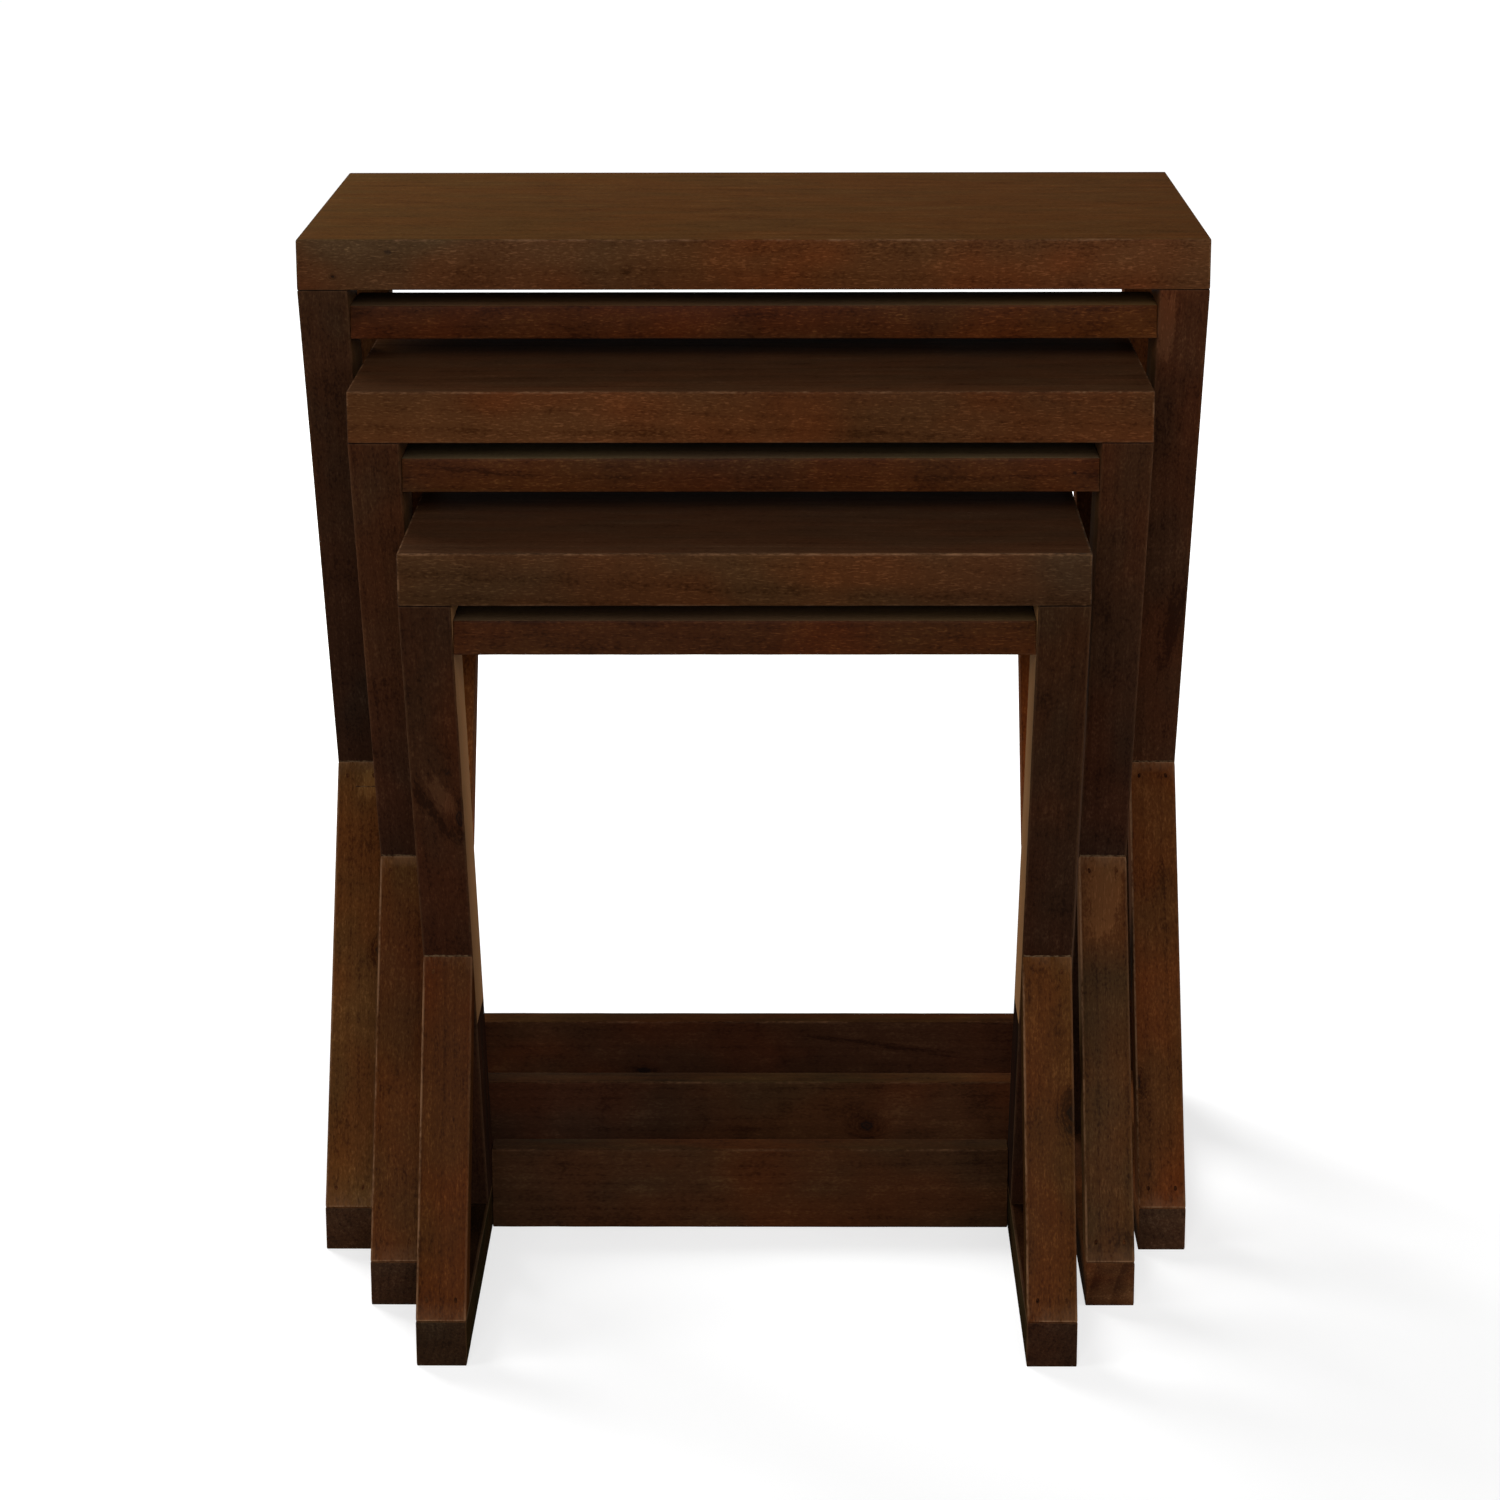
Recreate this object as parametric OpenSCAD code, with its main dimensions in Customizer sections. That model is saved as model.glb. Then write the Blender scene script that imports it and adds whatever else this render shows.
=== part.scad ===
// Nest of three wooden tables on crossed side frames.
// Millimetres, floor at z = 0, fronts towards -Y, left and right as seen from the front.
// Every table is built alike: a plank top on two side frames, a flat rail under the top
// and an upright stretcher at the back. A side frame is a long diagonal board with a short
// brace nailed to each side of it, standing on a foot bar.

/* [Large table] */
// Width of the large table
large_w = 510; // [460:2:600]
// Depth of the large table, front to back
large_d = 294; // [280:2:340]
// Height of the large table
large_h = 602; // [560:1:700]

/* [Nesting] */
// Clear space on each side of a table inside the next larger one
side_gap = 8; // [5:0.5:14]
// Clear space between a table and the rail of the next larger one
head_gap = 12.5; // [4:0.5:20]
// Clear space behind a table when it is pushed home
back_gap = 9.5; // [3:0.5:16]
// How far the middle table stands in front of the large one
middle_pull = 85; // [0:1:150]
// How far the small table stands in front of the middle one
small_pull = 87; // [0:1:150]
// Sideways place of the middle table inside the large one
middle_shift = -1; // [-3:0.5:3]
// Sideways place of the small table inside the middle one
small_shift = -2.5; // [-3:0.5:3]

/* [Boards] */
// Thickness of the tops
top_t = 28.5; // [24:0.5:34]
// Thickness of the side-frame boards, across the table
leg_t = 28; // [25:0.5:34]
// Width of the long diagonal boards
diagonal_w = 48; // [44:1:56]
// Width of the short braces
brace_w = 22; // [20:0.5:26]
// Height of the foot bars
bar_h = 26.5; // [23:0.5:32]
// Width of the bevel that eases every long edge
ease = 0.8; // [0.4:0.1:1.6]

/* [Lean of the braces] */
// Lean of the large table's lower braces from upright, in degrees
large_brace_lean = 30; // [28:0.1:33]
// Lean of the middle table's lower braces
middle_brace_lean = 29.6; // [27:0.1:33]
// Lean of the small table's lower braces
small_brace_lean = 28.6; // [26:0.1:33]
// Lean of the upper braces of all three tables
upper_brace_lean = 31; // [28:0.1:34]

/* [Rail under the top] */
// Width of the rail, which lies flat
rail_w = 50; // [44:1:54]
// Thickness of the rail
rail_t = 19; // [16:0.5:24]
// Gap between the rail and the underside of the top
rail_drop = 10.5; // [8:0.5:20]
// Distance of the rail behind the front edge
rail_set_back = 12; // [10:0.5:14]

/* [Stretcher at the back] */
// Height of the stretcher, which stands on edge
stretcher_h = 50; // [45:1:60]
// Thickness of the stretcher
stretcher_t = 18.5; // [16:0.5:22]
// Distance of the stretcher in front of the back edge
stretcher_inset = 4; // [2:0.5:5]

/* [Dowels] */
// Diameter of a dowel
dowel_d = 8; // [6:0.5:8.5]
// Length of a dowel, half in each board
dowel_l = 30; // [26:1:32]
// Distance from the edge of the diagonal to the first dowel
dowel_edge = 8; // [7:0.5:9]
// Distance between two dowels in one joint
dowel_spacing = 20; // [18:0.5:22]
// Room for glue round a dowel, on the radius
dowel_fit = 0.05; // [0.02:0.01:0.1]
// Room for glue at each end of a dowel
dowel_end_gap = 0.5; // [0.2:0.1:1]

/* [Nails] */
// Diameter of a nail's shank
nail_d = 1.8; // [1.6:0.1:2.4]
// Length of a nail
nail_l = 36; // [30:1:40]
// Diameter of a nail's head
nail_head_d = 3; // [2.8:0.1:4.5]
// Thickness of a nail's head
nail_head_t = 0.8; // [0.5:0.1:1.2]
// Depth at which a nail's head is set, which the filler makes good
nail_set = 1.5; // [1:0.1:2.5]
// Distance from a brace's seam with the diagonal to its nails
nail_from_seam = 9; // [8:0.5:11]
// Distance from a brace's other end to its nails
nail_from_end = 12; // [10:0.5:12]
// Distance between the two nails of a pair
nail_spacing = 16; // [10:0.5:18]
// Room round a nail, on the radius
nail_fit = 0.03; // [0.02:0.01:0.1]

/* [Hidden] */
TABLES = ["large", "middle", "small"];
SIDES = ["left", "right"];
FRAME_BOARDS = ["diagonal", "lower_brace", "upper_brace", "foot_bar"];
SHARED_PIECES = ["top", "upper_rail", "rear_stretcher", "dowels", "nails", "nail_filler"];

$fn = 32;
top_colour = [0.20, 0.10, 0.06];
frame_colour = [0.33, 0.16, 0.09];
rail_colour = [0.30, 0.14, 0.08];
dowel_colour = [0.80, 0.66, 0.45];
nail_colour = [0.55, 0.55, 0.57];
filler_colour = [0.14, 0.08, 0.05];

lower_brace_leans = [large_brace_lean, middle_brace_lean, small_brace_lean];
pulls = [0, middle_pull, middle_pull + small_pull];
shifts = [0, middle_shift, middle_shift + small_shift];
// Longer than any board, for what is cut to length by its neighbours
beyond = large_h + large_d + large_w;
// How deep a dowel's bore reaches into a board
dowel_reach = dowel_l / 2 + dowel_end_gap;
// The nest is centred over the floor, from the small table's front to the large one's back
nest_middle = (large_d - pulls[2]) / 2;

// Sizes of table k, where 0 is the large table
function width(k) = large_w - 2 * k * (leg_t + side_gap);
function depth(k) = large_d - k * (stretcher_t + stretcher_inset + back_gap);
function height(k) = large_h - k * (top_t + rail_drop + rail_t + head_gap);
function underside(k) = height(k) - top_t;
function clear_w(k) = width(k) - 2 * leg_t;

// A side frame's open height, and the lean of the diagonal that fills it corner to corner
function rise(k) = underside(k) - bar_h;
function lean(k) = acos(diagonal_w / norm([depth(k), rise(k)])) - atan(rise(k) / depth(k));
function diagonal_cut(k) = diagonal_w / cos(lean(k));

// Length of a brace along its outer face, from its end to its seam with the diagonal
function brace_run(k, brace_lean) = rise(k) * sin(lean(k)) / sin(brace_lean + lean(k));

// Left face of a side frame's boards, and the face that looks into the table
function leg_x(k, side) = side == 0 ? -width(k) / 2 : width(k) / 2 - leg_t;
function inner_x(k, side) = side == 0 ? -clear_w(k) / 2 : clear_w(k) / 2;

// Rectangle with bevelled corners, from the origin
function eased_rectangle(a, b) = [
    [ease, 0], [a - ease, 0], [a, ease], [a, b - ease],
    [a - ease, b], [ease, b], [0, b - ease], [0, ease]
];

// ---- Stock ----

// Board along +Z with its four long edges eased
module upright_stock(a, b, length) {
    linear_extrude(length) polygon(eased_rectangle(a, b));
}

// Board along +X with its four long edges eased
module cross_stock(length, a, b) {
    rotate([90, 0, 90]) linear_extrude(length) polygon(eased_rectangle(a, b));
}

// Block with all twelve edges eased
module eased_block(a, b, c) {
    intersection() {
        upright_stock(a, b, c);
        cross_stock(a, b, c);
        translate([0, b, 0]) rotate([90, 0, 0]) upright_stock(a, c, b);
    }
}

// ---- Places ----

// Table k where it stands in the nest
module standing(k) {
    translate([shifts[k], -nest_middle - pulls[k], 0]) children();
}

// Turned half round about the middle of the side frame, which sends its lower half to the upper
module turned_over(k) {
    translate([0, depth(k), underside(k) + bar_h]) rotate([180, 0, 0]) children();
}

// On the diagonal's front face, at its foot, with +Z up the board and +Y through it
module on_diagonal(k) {
    translate([0, depth(k) - diagonal_cut(k), bar_h]) rotate([lean(k), 0, 0]) children();
}

// On a lower brace's front face, at its foot, with +Z up the board and +Y through it
module on_brace(brace_lean) {
    translate([0, 0, bar_h]) rotate([-brace_lean, 0, 0]) children();
}

// Joint between the top and a diagonal: one dowel near the front, one in line with the rail
module at_top_dowels(k, side) {
    front_y = dowel_reach * tan(lean(k)) + dowel_edge;
    rail_y = rail_set_back + rail_w / 2;
    for (y = [front_y, rail_y])
        translate([leg_x(k, side) + leg_t / 2, y, underside(k)]) children();
}

// Joint between a diagonal and its foot bar, ahead of the stretcher's dowels
module at_foot_dowels(k, side) {
    front_y = depth(k) - diagonal_cut(k) + dowel_edge;
    for (y = [front_y, front_y + dowel_spacing])
        translate([leg_x(k, side) + leg_t / 2, y, bar_h]) children();
}

// Joint between the rail and a diagonal
module at_rail_dowels(k, side) {
    z = underside(k) - rail_drop - rail_t / 2;
    for (step = [-0.5, 0.5])
        translate([inner_x(k, side), rail_set_back + rail_w / 2 + step * dowel_spacing, z])
            rotate([0, 90, 0]) children();
}

// Joint of the stretcher: one dowel into the foot bar, one into the diagonal above it
module at_stretcher_dowels(k, side) {
    y = depth(k) - stretcher_inset - stretcher_t / 2;
    for (z = [bar_h / 2, (bar_h + stretcher_h) / 2])
        translate([inner_x(k, side), y, z]) rotate([0, 90, 0]) children();
}

// Every dowel of one side of table k
module at_dowels(k, side) {
    at_top_dowels(k, side) children();
    at_foot_dowels(k, side) children();
    at_rail_dowels(k, side) children();
    at_stretcher_dowels(k, side) children();
}

// The nail pairs of a lower brace, on its front face with +Z into the wood
module at_brace_nails(k, side, brace_lean) {
    on_brace(brace_lean)
        for (along = [nail_from_end, brace_run(k, brace_lean) - nail_from_seam], step = [-0.5, 0.5])
            translate([leg_x(k, side) + leg_t / 2 + step * nail_spacing, 0, along])
                rotate([-90, 0, 0]) children();
}

// Every nail of one side of table k; the upper brace's are on its rear face
module at_nails(k, side) {
    at_brace_nails(k, side, lower_brace_leans[k]) children();
    turned_over(k) at_brace_nails(k, side, upper_brace_lean) children();
}

// ---- Fastenings ----

// Dowel with bevelled ends, centred on its joint
module dowel() {
    bevel = dowel_d / 8;
    rotate_extrude()
        polygon([
            [0, -dowel_l / 2], [dowel_d / 2 - bevel, -dowel_l / 2], [dowel_d / 2, bevel - dowel_l / 2],
            [dowel_d / 2, dowel_l / 2 - bevel], [dowel_d / 2 - bevel, dowel_l / 2], [0, dowel_l / 2]
        ]);
}

module dowel_bore() {
    cylinder(d = dowel_d + 2 * dowel_fit, h = 2 * dowel_reach, center = true);
}

// Nail whose head is set below the face at z = 0
module nail() {
    point_l = 2 * nail_d;
    tip_r = nail_d / 8;
    translate([0, 0, nail_set])
        rotate_extrude()
            polygon([
                [0, 0], [nail_head_d / 2, 0], [nail_head_d / 2, nail_head_t], [nail_d / 2, nail_head_t],
                [nail_d / 2, nail_l - point_l], [tip_r, nail_l], [0, nail_l]
            ]);
}

// Bore that a nail and its filler sit in, open at the face
module nail_bore() {
    head_depth = nail_set + nail_head_t;
    translate([0, 0, -head_depth]) cylinder(d = nail_head_d + 2 * nail_fit, h = 2 * head_depth);
    cylinder(d = nail_d + 2 * nail_fit, h = nail_set + nail_l + nail_d / 2);
}

module filler_plug() {
    cylinder(d = nail_head_d, h = nail_set);
}

// ---- Side frame ----

// Long board from under the front of the top down to the back of the foot bar
module diagonal(k, side) {
    color(frame_colour) standing(k) difference() {
        intersection() {
            translate([leg_x(k, side), 0, 0]) on_diagonal(k)
                translate([0, 0, -beyond]) upright_stock(leg_t, diagonal_w, 2 * beyond);
            translate([-beyond, -beyond, bar_h]) cube([2 * beyond, 2 * beyond, rise(k)]);
        }
        at_dowels(k, side) dowel_bore();
        at_nails(k, side) nail_bore();
    }
}

// Brace from the front of the foot bar up to the diagonal's front face
module brace(k, side, brace_lean) {
    difference() {
        intersection() {
            translate([leg_x(k, side), 0, 0]) on_brace(brace_lean)
                translate([0, 0, -beyond]) upright_stock(leg_t, brace_w, 2 * beyond);
            translate([-beyond, -beyond, bar_h]) cube([2 * beyond, 2 * beyond, rise(k)]);
            on_diagonal(k) translate([-beyond, -beyond, -beyond]) cube([2 * beyond, beyond, 2 * beyond]);
        }
        at_brace_nails(k, side, brace_lean) nail_bore();
    }
}

module lower_brace(k, side) {
    color(frame_colour) standing(k) brace(k, side, lower_brace_leans[k]);
}

// The same brace turned over, from the back of the top down to the diagonal's rear face
module upper_brace(k, side) {
    color(frame_colour) standing(k) turned_over(k) brace(k, side, upper_brace_lean);
}

// Bar that lies on the floor under the side frame
module foot_bar(k, side) {
    color(frame_colour) standing(k) difference() {
        translate([leg_x(k, side), 0, 0]) eased_block(leg_t, depth(k), bar_h);
        at_foot_dowels(k, side) dowel_bore();
        at_stretcher_dowels(k, side) dowel_bore();
        at_brace_nails(k, side, lower_brace_leans[k]) nail_bore();
    }
}

// ---- Pieces that join the side frames ----

module top(k) {
    color(top_colour) standing(k) difference() {
        translate([-width(k) / 2, 0, underside(k)]) eased_block(width(k), depth(k), top_t);
        for (side = [0, 1]) {
            at_top_dowels(k, side) dowel_bore();
            turned_over(k) at_brace_nails(k, side, upper_brace_lean) nail_bore();
        }
    }
}

module upper_rail(k) {
    color(rail_colour) standing(k) difference() {
        translate([-clear_w(k) / 2, rail_set_back, underside(k) - rail_drop - rail_t])
            cross_stock(clear_w(k), rail_w, rail_t);
        for (side = [0, 1]) at_rail_dowels(k, side) dowel_bore();
    }
}

module rear_stretcher(k) {
    color(rail_colour) standing(k) difference() {
        translate([-clear_w(k) / 2, depth(k) - stretcher_inset - stretcher_t, 0])
            cross_stock(clear_w(k), stretcher_t, stretcher_h);
        for (side = [0, 1]) at_stretcher_dowels(k, side) dowel_bore();
    }
}

module dowels(k) {
    color(dowel_colour) standing(k) for (side = [0, 1]) at_dowels(k, side) dowel();
}

module nails(k) {
    color(nail_colour) standing(k) for (side = [0, 1]) at_nails(k, side) nail();
}

module nail_filler(k) {
    color(filler_colour) standing(k) for (side = [0, 1]) at_nails(k, side) filler_plug();
}

for (k = [0:2]) {
    table = TABLES[k];
    top(k);
    upper_rail(k);
    rear_stretcher(k);
    dowels(k);
    nails(k);
    nail_filler(k);
    for (side = [0, 1]) {
        frame = str(table, "_", SIDES[side]);
        diagonal(k, side);
        lower_brace(k, side);
        upper_brace(k, side);
        foot_bar(k, side);
    }
}
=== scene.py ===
# %% [markdown]
# # Three nesting tables in dark stained hardwood
# Three small tables slide into one another. Each has a thick top, two X-shaped side frames, a rail
# under the top and a stretcher between the foot bars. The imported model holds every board, dowel and
# nail at its true size, and this lesson gives those boards eased arrises, grain and a satin stain.
# Loading the model first means that each place below is read from it and never guessed.

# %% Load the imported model
import math
import random
import bpy
from mathutils import Matrix, Vector


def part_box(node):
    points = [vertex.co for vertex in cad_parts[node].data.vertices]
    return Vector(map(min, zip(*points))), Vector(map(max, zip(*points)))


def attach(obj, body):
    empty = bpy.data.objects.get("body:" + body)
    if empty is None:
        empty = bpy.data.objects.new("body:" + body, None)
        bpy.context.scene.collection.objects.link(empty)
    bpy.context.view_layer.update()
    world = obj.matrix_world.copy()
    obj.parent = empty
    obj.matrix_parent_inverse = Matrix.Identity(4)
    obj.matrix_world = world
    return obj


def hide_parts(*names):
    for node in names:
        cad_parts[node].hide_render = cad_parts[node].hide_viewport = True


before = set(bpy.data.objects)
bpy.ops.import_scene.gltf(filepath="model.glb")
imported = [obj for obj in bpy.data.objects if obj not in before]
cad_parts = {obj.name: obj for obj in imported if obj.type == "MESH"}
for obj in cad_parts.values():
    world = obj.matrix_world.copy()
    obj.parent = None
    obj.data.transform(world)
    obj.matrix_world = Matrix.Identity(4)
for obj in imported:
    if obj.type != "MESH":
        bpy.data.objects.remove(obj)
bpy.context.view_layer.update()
mm = 0.001
TABLES = ("large", "middle", "small")

# %% [markdown]
# ## The camera
# A long lens from far back keeps the legs nearly parallel, as in a catalogue view. The camera looks
# down by fifteen degrees, so that each top shows as a thin slanting strip. Everything is measured from
# the front face of the large table, so that the view stays right if the tables' depths change.

# %% Camera
LENS, SENSOR = 99.66, 36.0
CAMERA_ASIDE, CAMERA_AHEAD, CAMERA_HEIGHT = 0.0203, 2.3040, 0.9310
PITCH_DOWN, YAW_LEFT, ROLL = 15.14, 0.564, -0.147

front_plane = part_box("large_top")[0].y
camera_data = bpy.data.cameras.new("catalogue_view")
camera_data.lens, camera_data.sensor_width = LENS, SENSOR
camera_data.clip_end = 50
camera = bpy.data.objects.new("catalogue_view", camera_data)
bpy.context.scene.collection.objects.link(camera)
camera.matrix_world = (
    Matrix.Translation((CAMERA_ASIDE, front_plane - CAMERA_AHEAD, CAMERA_HEIGHT))
    @ Matrix.Rotation(math.radians(YAW_LEFT), 4, "Z")
    @ Matrix.Rotation(math.radians(90 - PITCH_DOWN), 4, "X")
    @ Matrix.Rotation(math.radians(ROLL), 4, "Z"))
bpy.context.scene.camera = camera
print("camera at", tuple(round(c, 3) for c in camera.location))

# %% [markdown]
# ## Small helpers for shader nodes
# Building a material in code is easier to read when a node is one line. `node` adds one and fills its
# sockets by name: a plain number is typed in, and another node's output is wired in. The Math node does
# most of the work in a pattern, so its commonest jobs get short names of their own.

# %% Node helpers
def feed(tree, socket, source):
    """Wires an output into a socket, or types a plain value into it."""
    if isinstance(source, bpy.types.NodeSocket):
        tree.links.new(source, socket)
    else:
        socket.default_value = source


def fill_in(tree, made, sockets):
    """Fills a node's sockets by name or by number."""
    for name, source in sockets.items():
        feed(tree, made.inputs[name], source)


def node(tree, kind, sockets=None, **settings):
    """Adds one node, sets its options and fills its sockets."""
    made = tree.nodes.new("ShaderNode" + kind)
    for name, value in settings.items():
        setattr(made, name, value)
    fill_in(tree, made, sockets or {})
    return made


def sums(tree, operation, *terms):
    """One Math node: its output for the terms given."""
    return node(tree, "Math", dict(enumerate(terms)), operation=operation).outputs[0]


def plus(tree, first, second):
    """The sum of two values."""
    return sums(tree, "ADD", first, second)


def minus(tree, first, second):
    """What is left of the first value without the second."""
    return sums(tree, "SUBTRACT", first, second)


def times(tree, first, second):
    """The product of two values."""
    return sums(tree, "MULTIPLY", first, second)


def swing(tree, value, amount):
    """Turns a value round a half into a push up or down, of at most half the amount."""
    return times(tree, minus(tree, value, 0.5), amount)


def ramp(tree, value, low, high, start=0.0, end=1.0):
    """Maps low..high of a value to start..end with soft ends."""
    return node(tree, "MapRange", {"Value": value, "From Min": low, "From Max": high,
                                   "To Min": start, "To Max": end},
                interpolation_type="SMOOTHSTEP").outputs["Result"]


def mix(tree, factor, first, second, blend="MIX"):
    """Mixes two colours."""
    made = node(tree, "Mix", data_type="RGBA", blend_type=blend)
    fill_in(tree, made, {0: factor, 6: first, 7: second})
    return made.outputs[2]


print("node helpers are ready")

# %% [markdown]
# ## Helpers for noises, groups and materials
# A wood pattern is a noise that is long one way and thin the others. `noise` takes those three lengths
# in metres, and divides the place by them before the noise is read. A pattern that more than one finish
# needs becomes a group: `new_group` makes one with named sockets, and `use` places it in a tree.

# %% Noise, group and material helpers
def vectors(tree, operation, *terms):
    """One Vector Math node: its output for the terms given."""
    return node(tree, "VectorMath", dict(enumerate(terms)), operation=operation).outputs[0]


def length_of(tree, way):
    """How long a vector is."""
    return node(tree, "VectorMath", {0: way}, operation="LENGTH").outputs["Value"]


def noise(tree, place, *lengths, detail=2.0, rough=0.5, out="Fac"):
    """A noise whose blobs have these lengths along, across and through the board."""
    stretched = vectors(tree, "MULTIPLY", place, tuple(1 / length for length in lengths))
    return node(tree, "TexNoise", {"Vector": stretched, "Scale": 1.0, "Detail": detail,
                                   "Roughness": rough}).outputs[out]


def new_group(name, inputs, outputs):
    """An empty node group with named sockets: its tree, what it is given and its output node."""
    tree = bpy.data.node_groups.new(name, "ShaderNodeTree")
    for side, sockets in (("INPUT", inputs), ("OUTPUT", outputs)):
        for label, kind, *default in sockets:
            made = tree.interface.new_socket(label, in_out=side, socket_type="NodeSocket" + kind)
            if default:
                made.default_value = default[0]
    return tree, tree.nodes.new("NodeGroupInput").outputs, tree.nodes.new("NodeGroupOutput")


def use(tree, group, **sockets):
    """Places a group in a tree. Underscores in the names stand for spaces."""
    made = tree.nodes.new("ShaderNodeGroup")
    made.node_tree = group
    fill_in(tree, made, {name.replace("_", " "): source for name, source in sockets.items()})
    return made.outputs


def new_material(name):
    """A new material: itself, its tree and its shader."""
    made = bpy.data.materials.new(name)
    made.use_nodes = True
    return made, made.node_tree, made.node_tree.nodes["Principled BSDF"]


print("noise, group and material helpers are ready")

# %% [markdown]
# ## Studio: white surround and floor
# The tables stand on a plain pale floor. The surround is white only where the camera or a reflection
# looks straight at it, so the background is clean without any more light falling on the wood. The floor
# does the same, a little less in the middle, so that it keeps the tables' shadow and fades to white.

# %% Surround and floor
WORLD_LEVEL = 0.05
FLOOR_SIZE, FLOOR_TONE, FLOOR_LIFT = 40.0, 0.42, 0.66
FLOOR_FADE = (0.5, 1.6)


def looked_at(tree):
    """1 where the camera or a reflection looks straight at a surface, and 0 for the light it gives."""
    path = node(tree, "LightPath").outputs
    mirrored = sums(tree, "MAXIMUM", path["Is Glossy Ray"], path["Is Transmission Ray"])
    return sums(tree, "MAXIMUM", path["Is Camera Ray"], mirrored)


bpy.context.scene.view_settings.view_transform = "Standard"
world = bpy.data.worlds.new("studio")
bpy.context.scene.world = world
world.use_nodes = True
t = world.node_tree
t.nodes.clear()
strength = ramp(t, looked_at(t), 0.0, 1.0, WORLD_LEVEL, 1.0)
sky = node(t, "Background", {"Color": (1, 1, 1, 1), "Strength": strength})
node(t, "OutputWorld", {"Surface": sky.outputs[0]})

bpy.ops.object.select_all(action="DESELECT")
bpy.ops.mesh.primitive_plane_add(size=FLOOR_SIZE, location=(0, 0, 0))
floor = bpy.context.object
floor.name = "studio_floor"
paper, t, shader = new_material("floor_paper")
lift = ramp(t, length_of(t, node(t, "TexCoord").outputs["Object"]), *FLOOR_FADE, FLOOR_LIFT, 1.0)
fill_in(t, shader, {"Base Color": (FLOOR_TONE, FLOOR_TONE, FLOOR_TONE, 1), "Roughness": 0.9,
                    "Specular IOR Level": 0.0, "Emission Color": (1, 1, 1, 1),
                    "Emission Strength": times(t, looked_at(t), lift)})
floor.data.materials.append(paper)
print("world", WORLD_LEVEL, "floor", FLOOR_TONE)

# %% [markdown]
# ## Studio: soft lamps
# Three soft lamps, in front and at both sides, light the fronts and the slanting legs. A fourth, behind
# and above, rakes over the highest top, and does not reach the tops below it. That is why the nested
# tops are so much darker than the large one. Square lamps of a good size give soft edges to the shadow.

# %% Lamps
LAMP_SIZE = 1.6
MIDDLE = (0, 0, 0.3)

for name, place, power in (
        ("front_softbox", (0.0, -3.0, 1.5), 60), ("left_softbox", (-2.9, -1.3, 1.3), 36),
        ("right_softbox", (2.9, -1.3, 1.3), 46), ("back_softbox", (-1.6, 2.2, 2.2), 130)):
    data = bpy.data.lights.new(name, "AREA")
    data.shape, data.size, data.energy = "SQUARE", LAMP_SIZE, power
    lamp = bpy.data.objects.new(name, data)
    bpy.context.scene.collection.objects.link(lamp)
    turn = (Vector(MIDDLE) - Vector(place)).to_track_quat("-Z", "Y")
    lamp.matrix_world = Matrix.Translation(place) @ turn.to_matrix().to_4x4()
    print(name, power, "watts")

# %% [markdown]
# ## Growth rings
# A board is a slice of a log, so its figure is not painted on but cut out of rings round the pith.
# Each board here carries its place in its own log, with the pith along X. The distance from the pith
# gives the rings, and a slow drift of the grain turns them into the wandering lines of a flat face.
# The same rings then show as arcs on the end grain, with nothing more to do.

# %% Growth rings group
WANDER, BAND_STEP = (220 * mm, 35 * mm, 35 * mm), 0.8

rings_group, given, result = new_group(
    "growth rings",
    [("Log", "Vector"), ("Spacing", "Float", 0.006), ("Drift", "Float", 0.01)],
    [("Late Wood", "Float"), ("Band", "Float")])
t = rings_group
wander = noise(t, given["Log"], *WANDER, detail=3, out="Color")
off = vectors(t, "SUBTRACT", wander, (0.5, 0.5, 0.5))
push = node(t, "VectorMath", {0: off, "Scale": given["Drift"]}, operation="SCALE").outputs[0]
place = vectors(t, "ADD", given["Log"], push)
around = vectors(t, "MULTIPLY", place, (0, 1, 1))
count = sums(t, "DIVIDE", length_of(t, around), given["Spacing"])
year = sums(t, "FRACT", count)
late = times(t, ramp(t, year, 0.35, 0.9), ramp(t, year, 0.9, 1.0, 1.0, 0.0))
band = node(t, "TexNoise", {"W": times(t, count, BAND_STEP), "Scale": 1.0, "Detail": 2.0},
            noise_dimensions="1D")
fill_in(t, result, {"Late Wood": late, "Band": band.outputs[0]})
print("made", rings_group.name)

# %% [markdown]
# ## Pores, flecks and streaks
# Up close, a tropical hardwood is full of short open pores: dark dashes a few millimetres long that run
# with the grain. Between them are tiny pale flecks, where stain did not take, and long soft streaks.
# Over those lie the blotches of the stain, a fine dust in it, and a slow change of its cast. All of
# them are noises, most of them stretched along the board. Of the pores and flecks, only the brightest
# spots of the noise are kept.

# %% Pore, fleck and streak group
PORE, FLECK = (6.0 * mm, 0.45 * mm, 0.45 * mm), (4.0 * mm, 0.7 * mm, 0.7 * mm)
BROAD_STREAK, FINE_STREAK = (200 * mm, 6 * mm, 6 * mm), (50 * mm, 1.1 * mm, 1.1 * mm)
BLOTCH, DUST = (30 * mm, 12 * mm, 24 * mm), (2.4 * mm, 1.3 * mm, 1.3 * mm)
CAST = (85 * mm, 22 * mm, 45 * mm)

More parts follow.
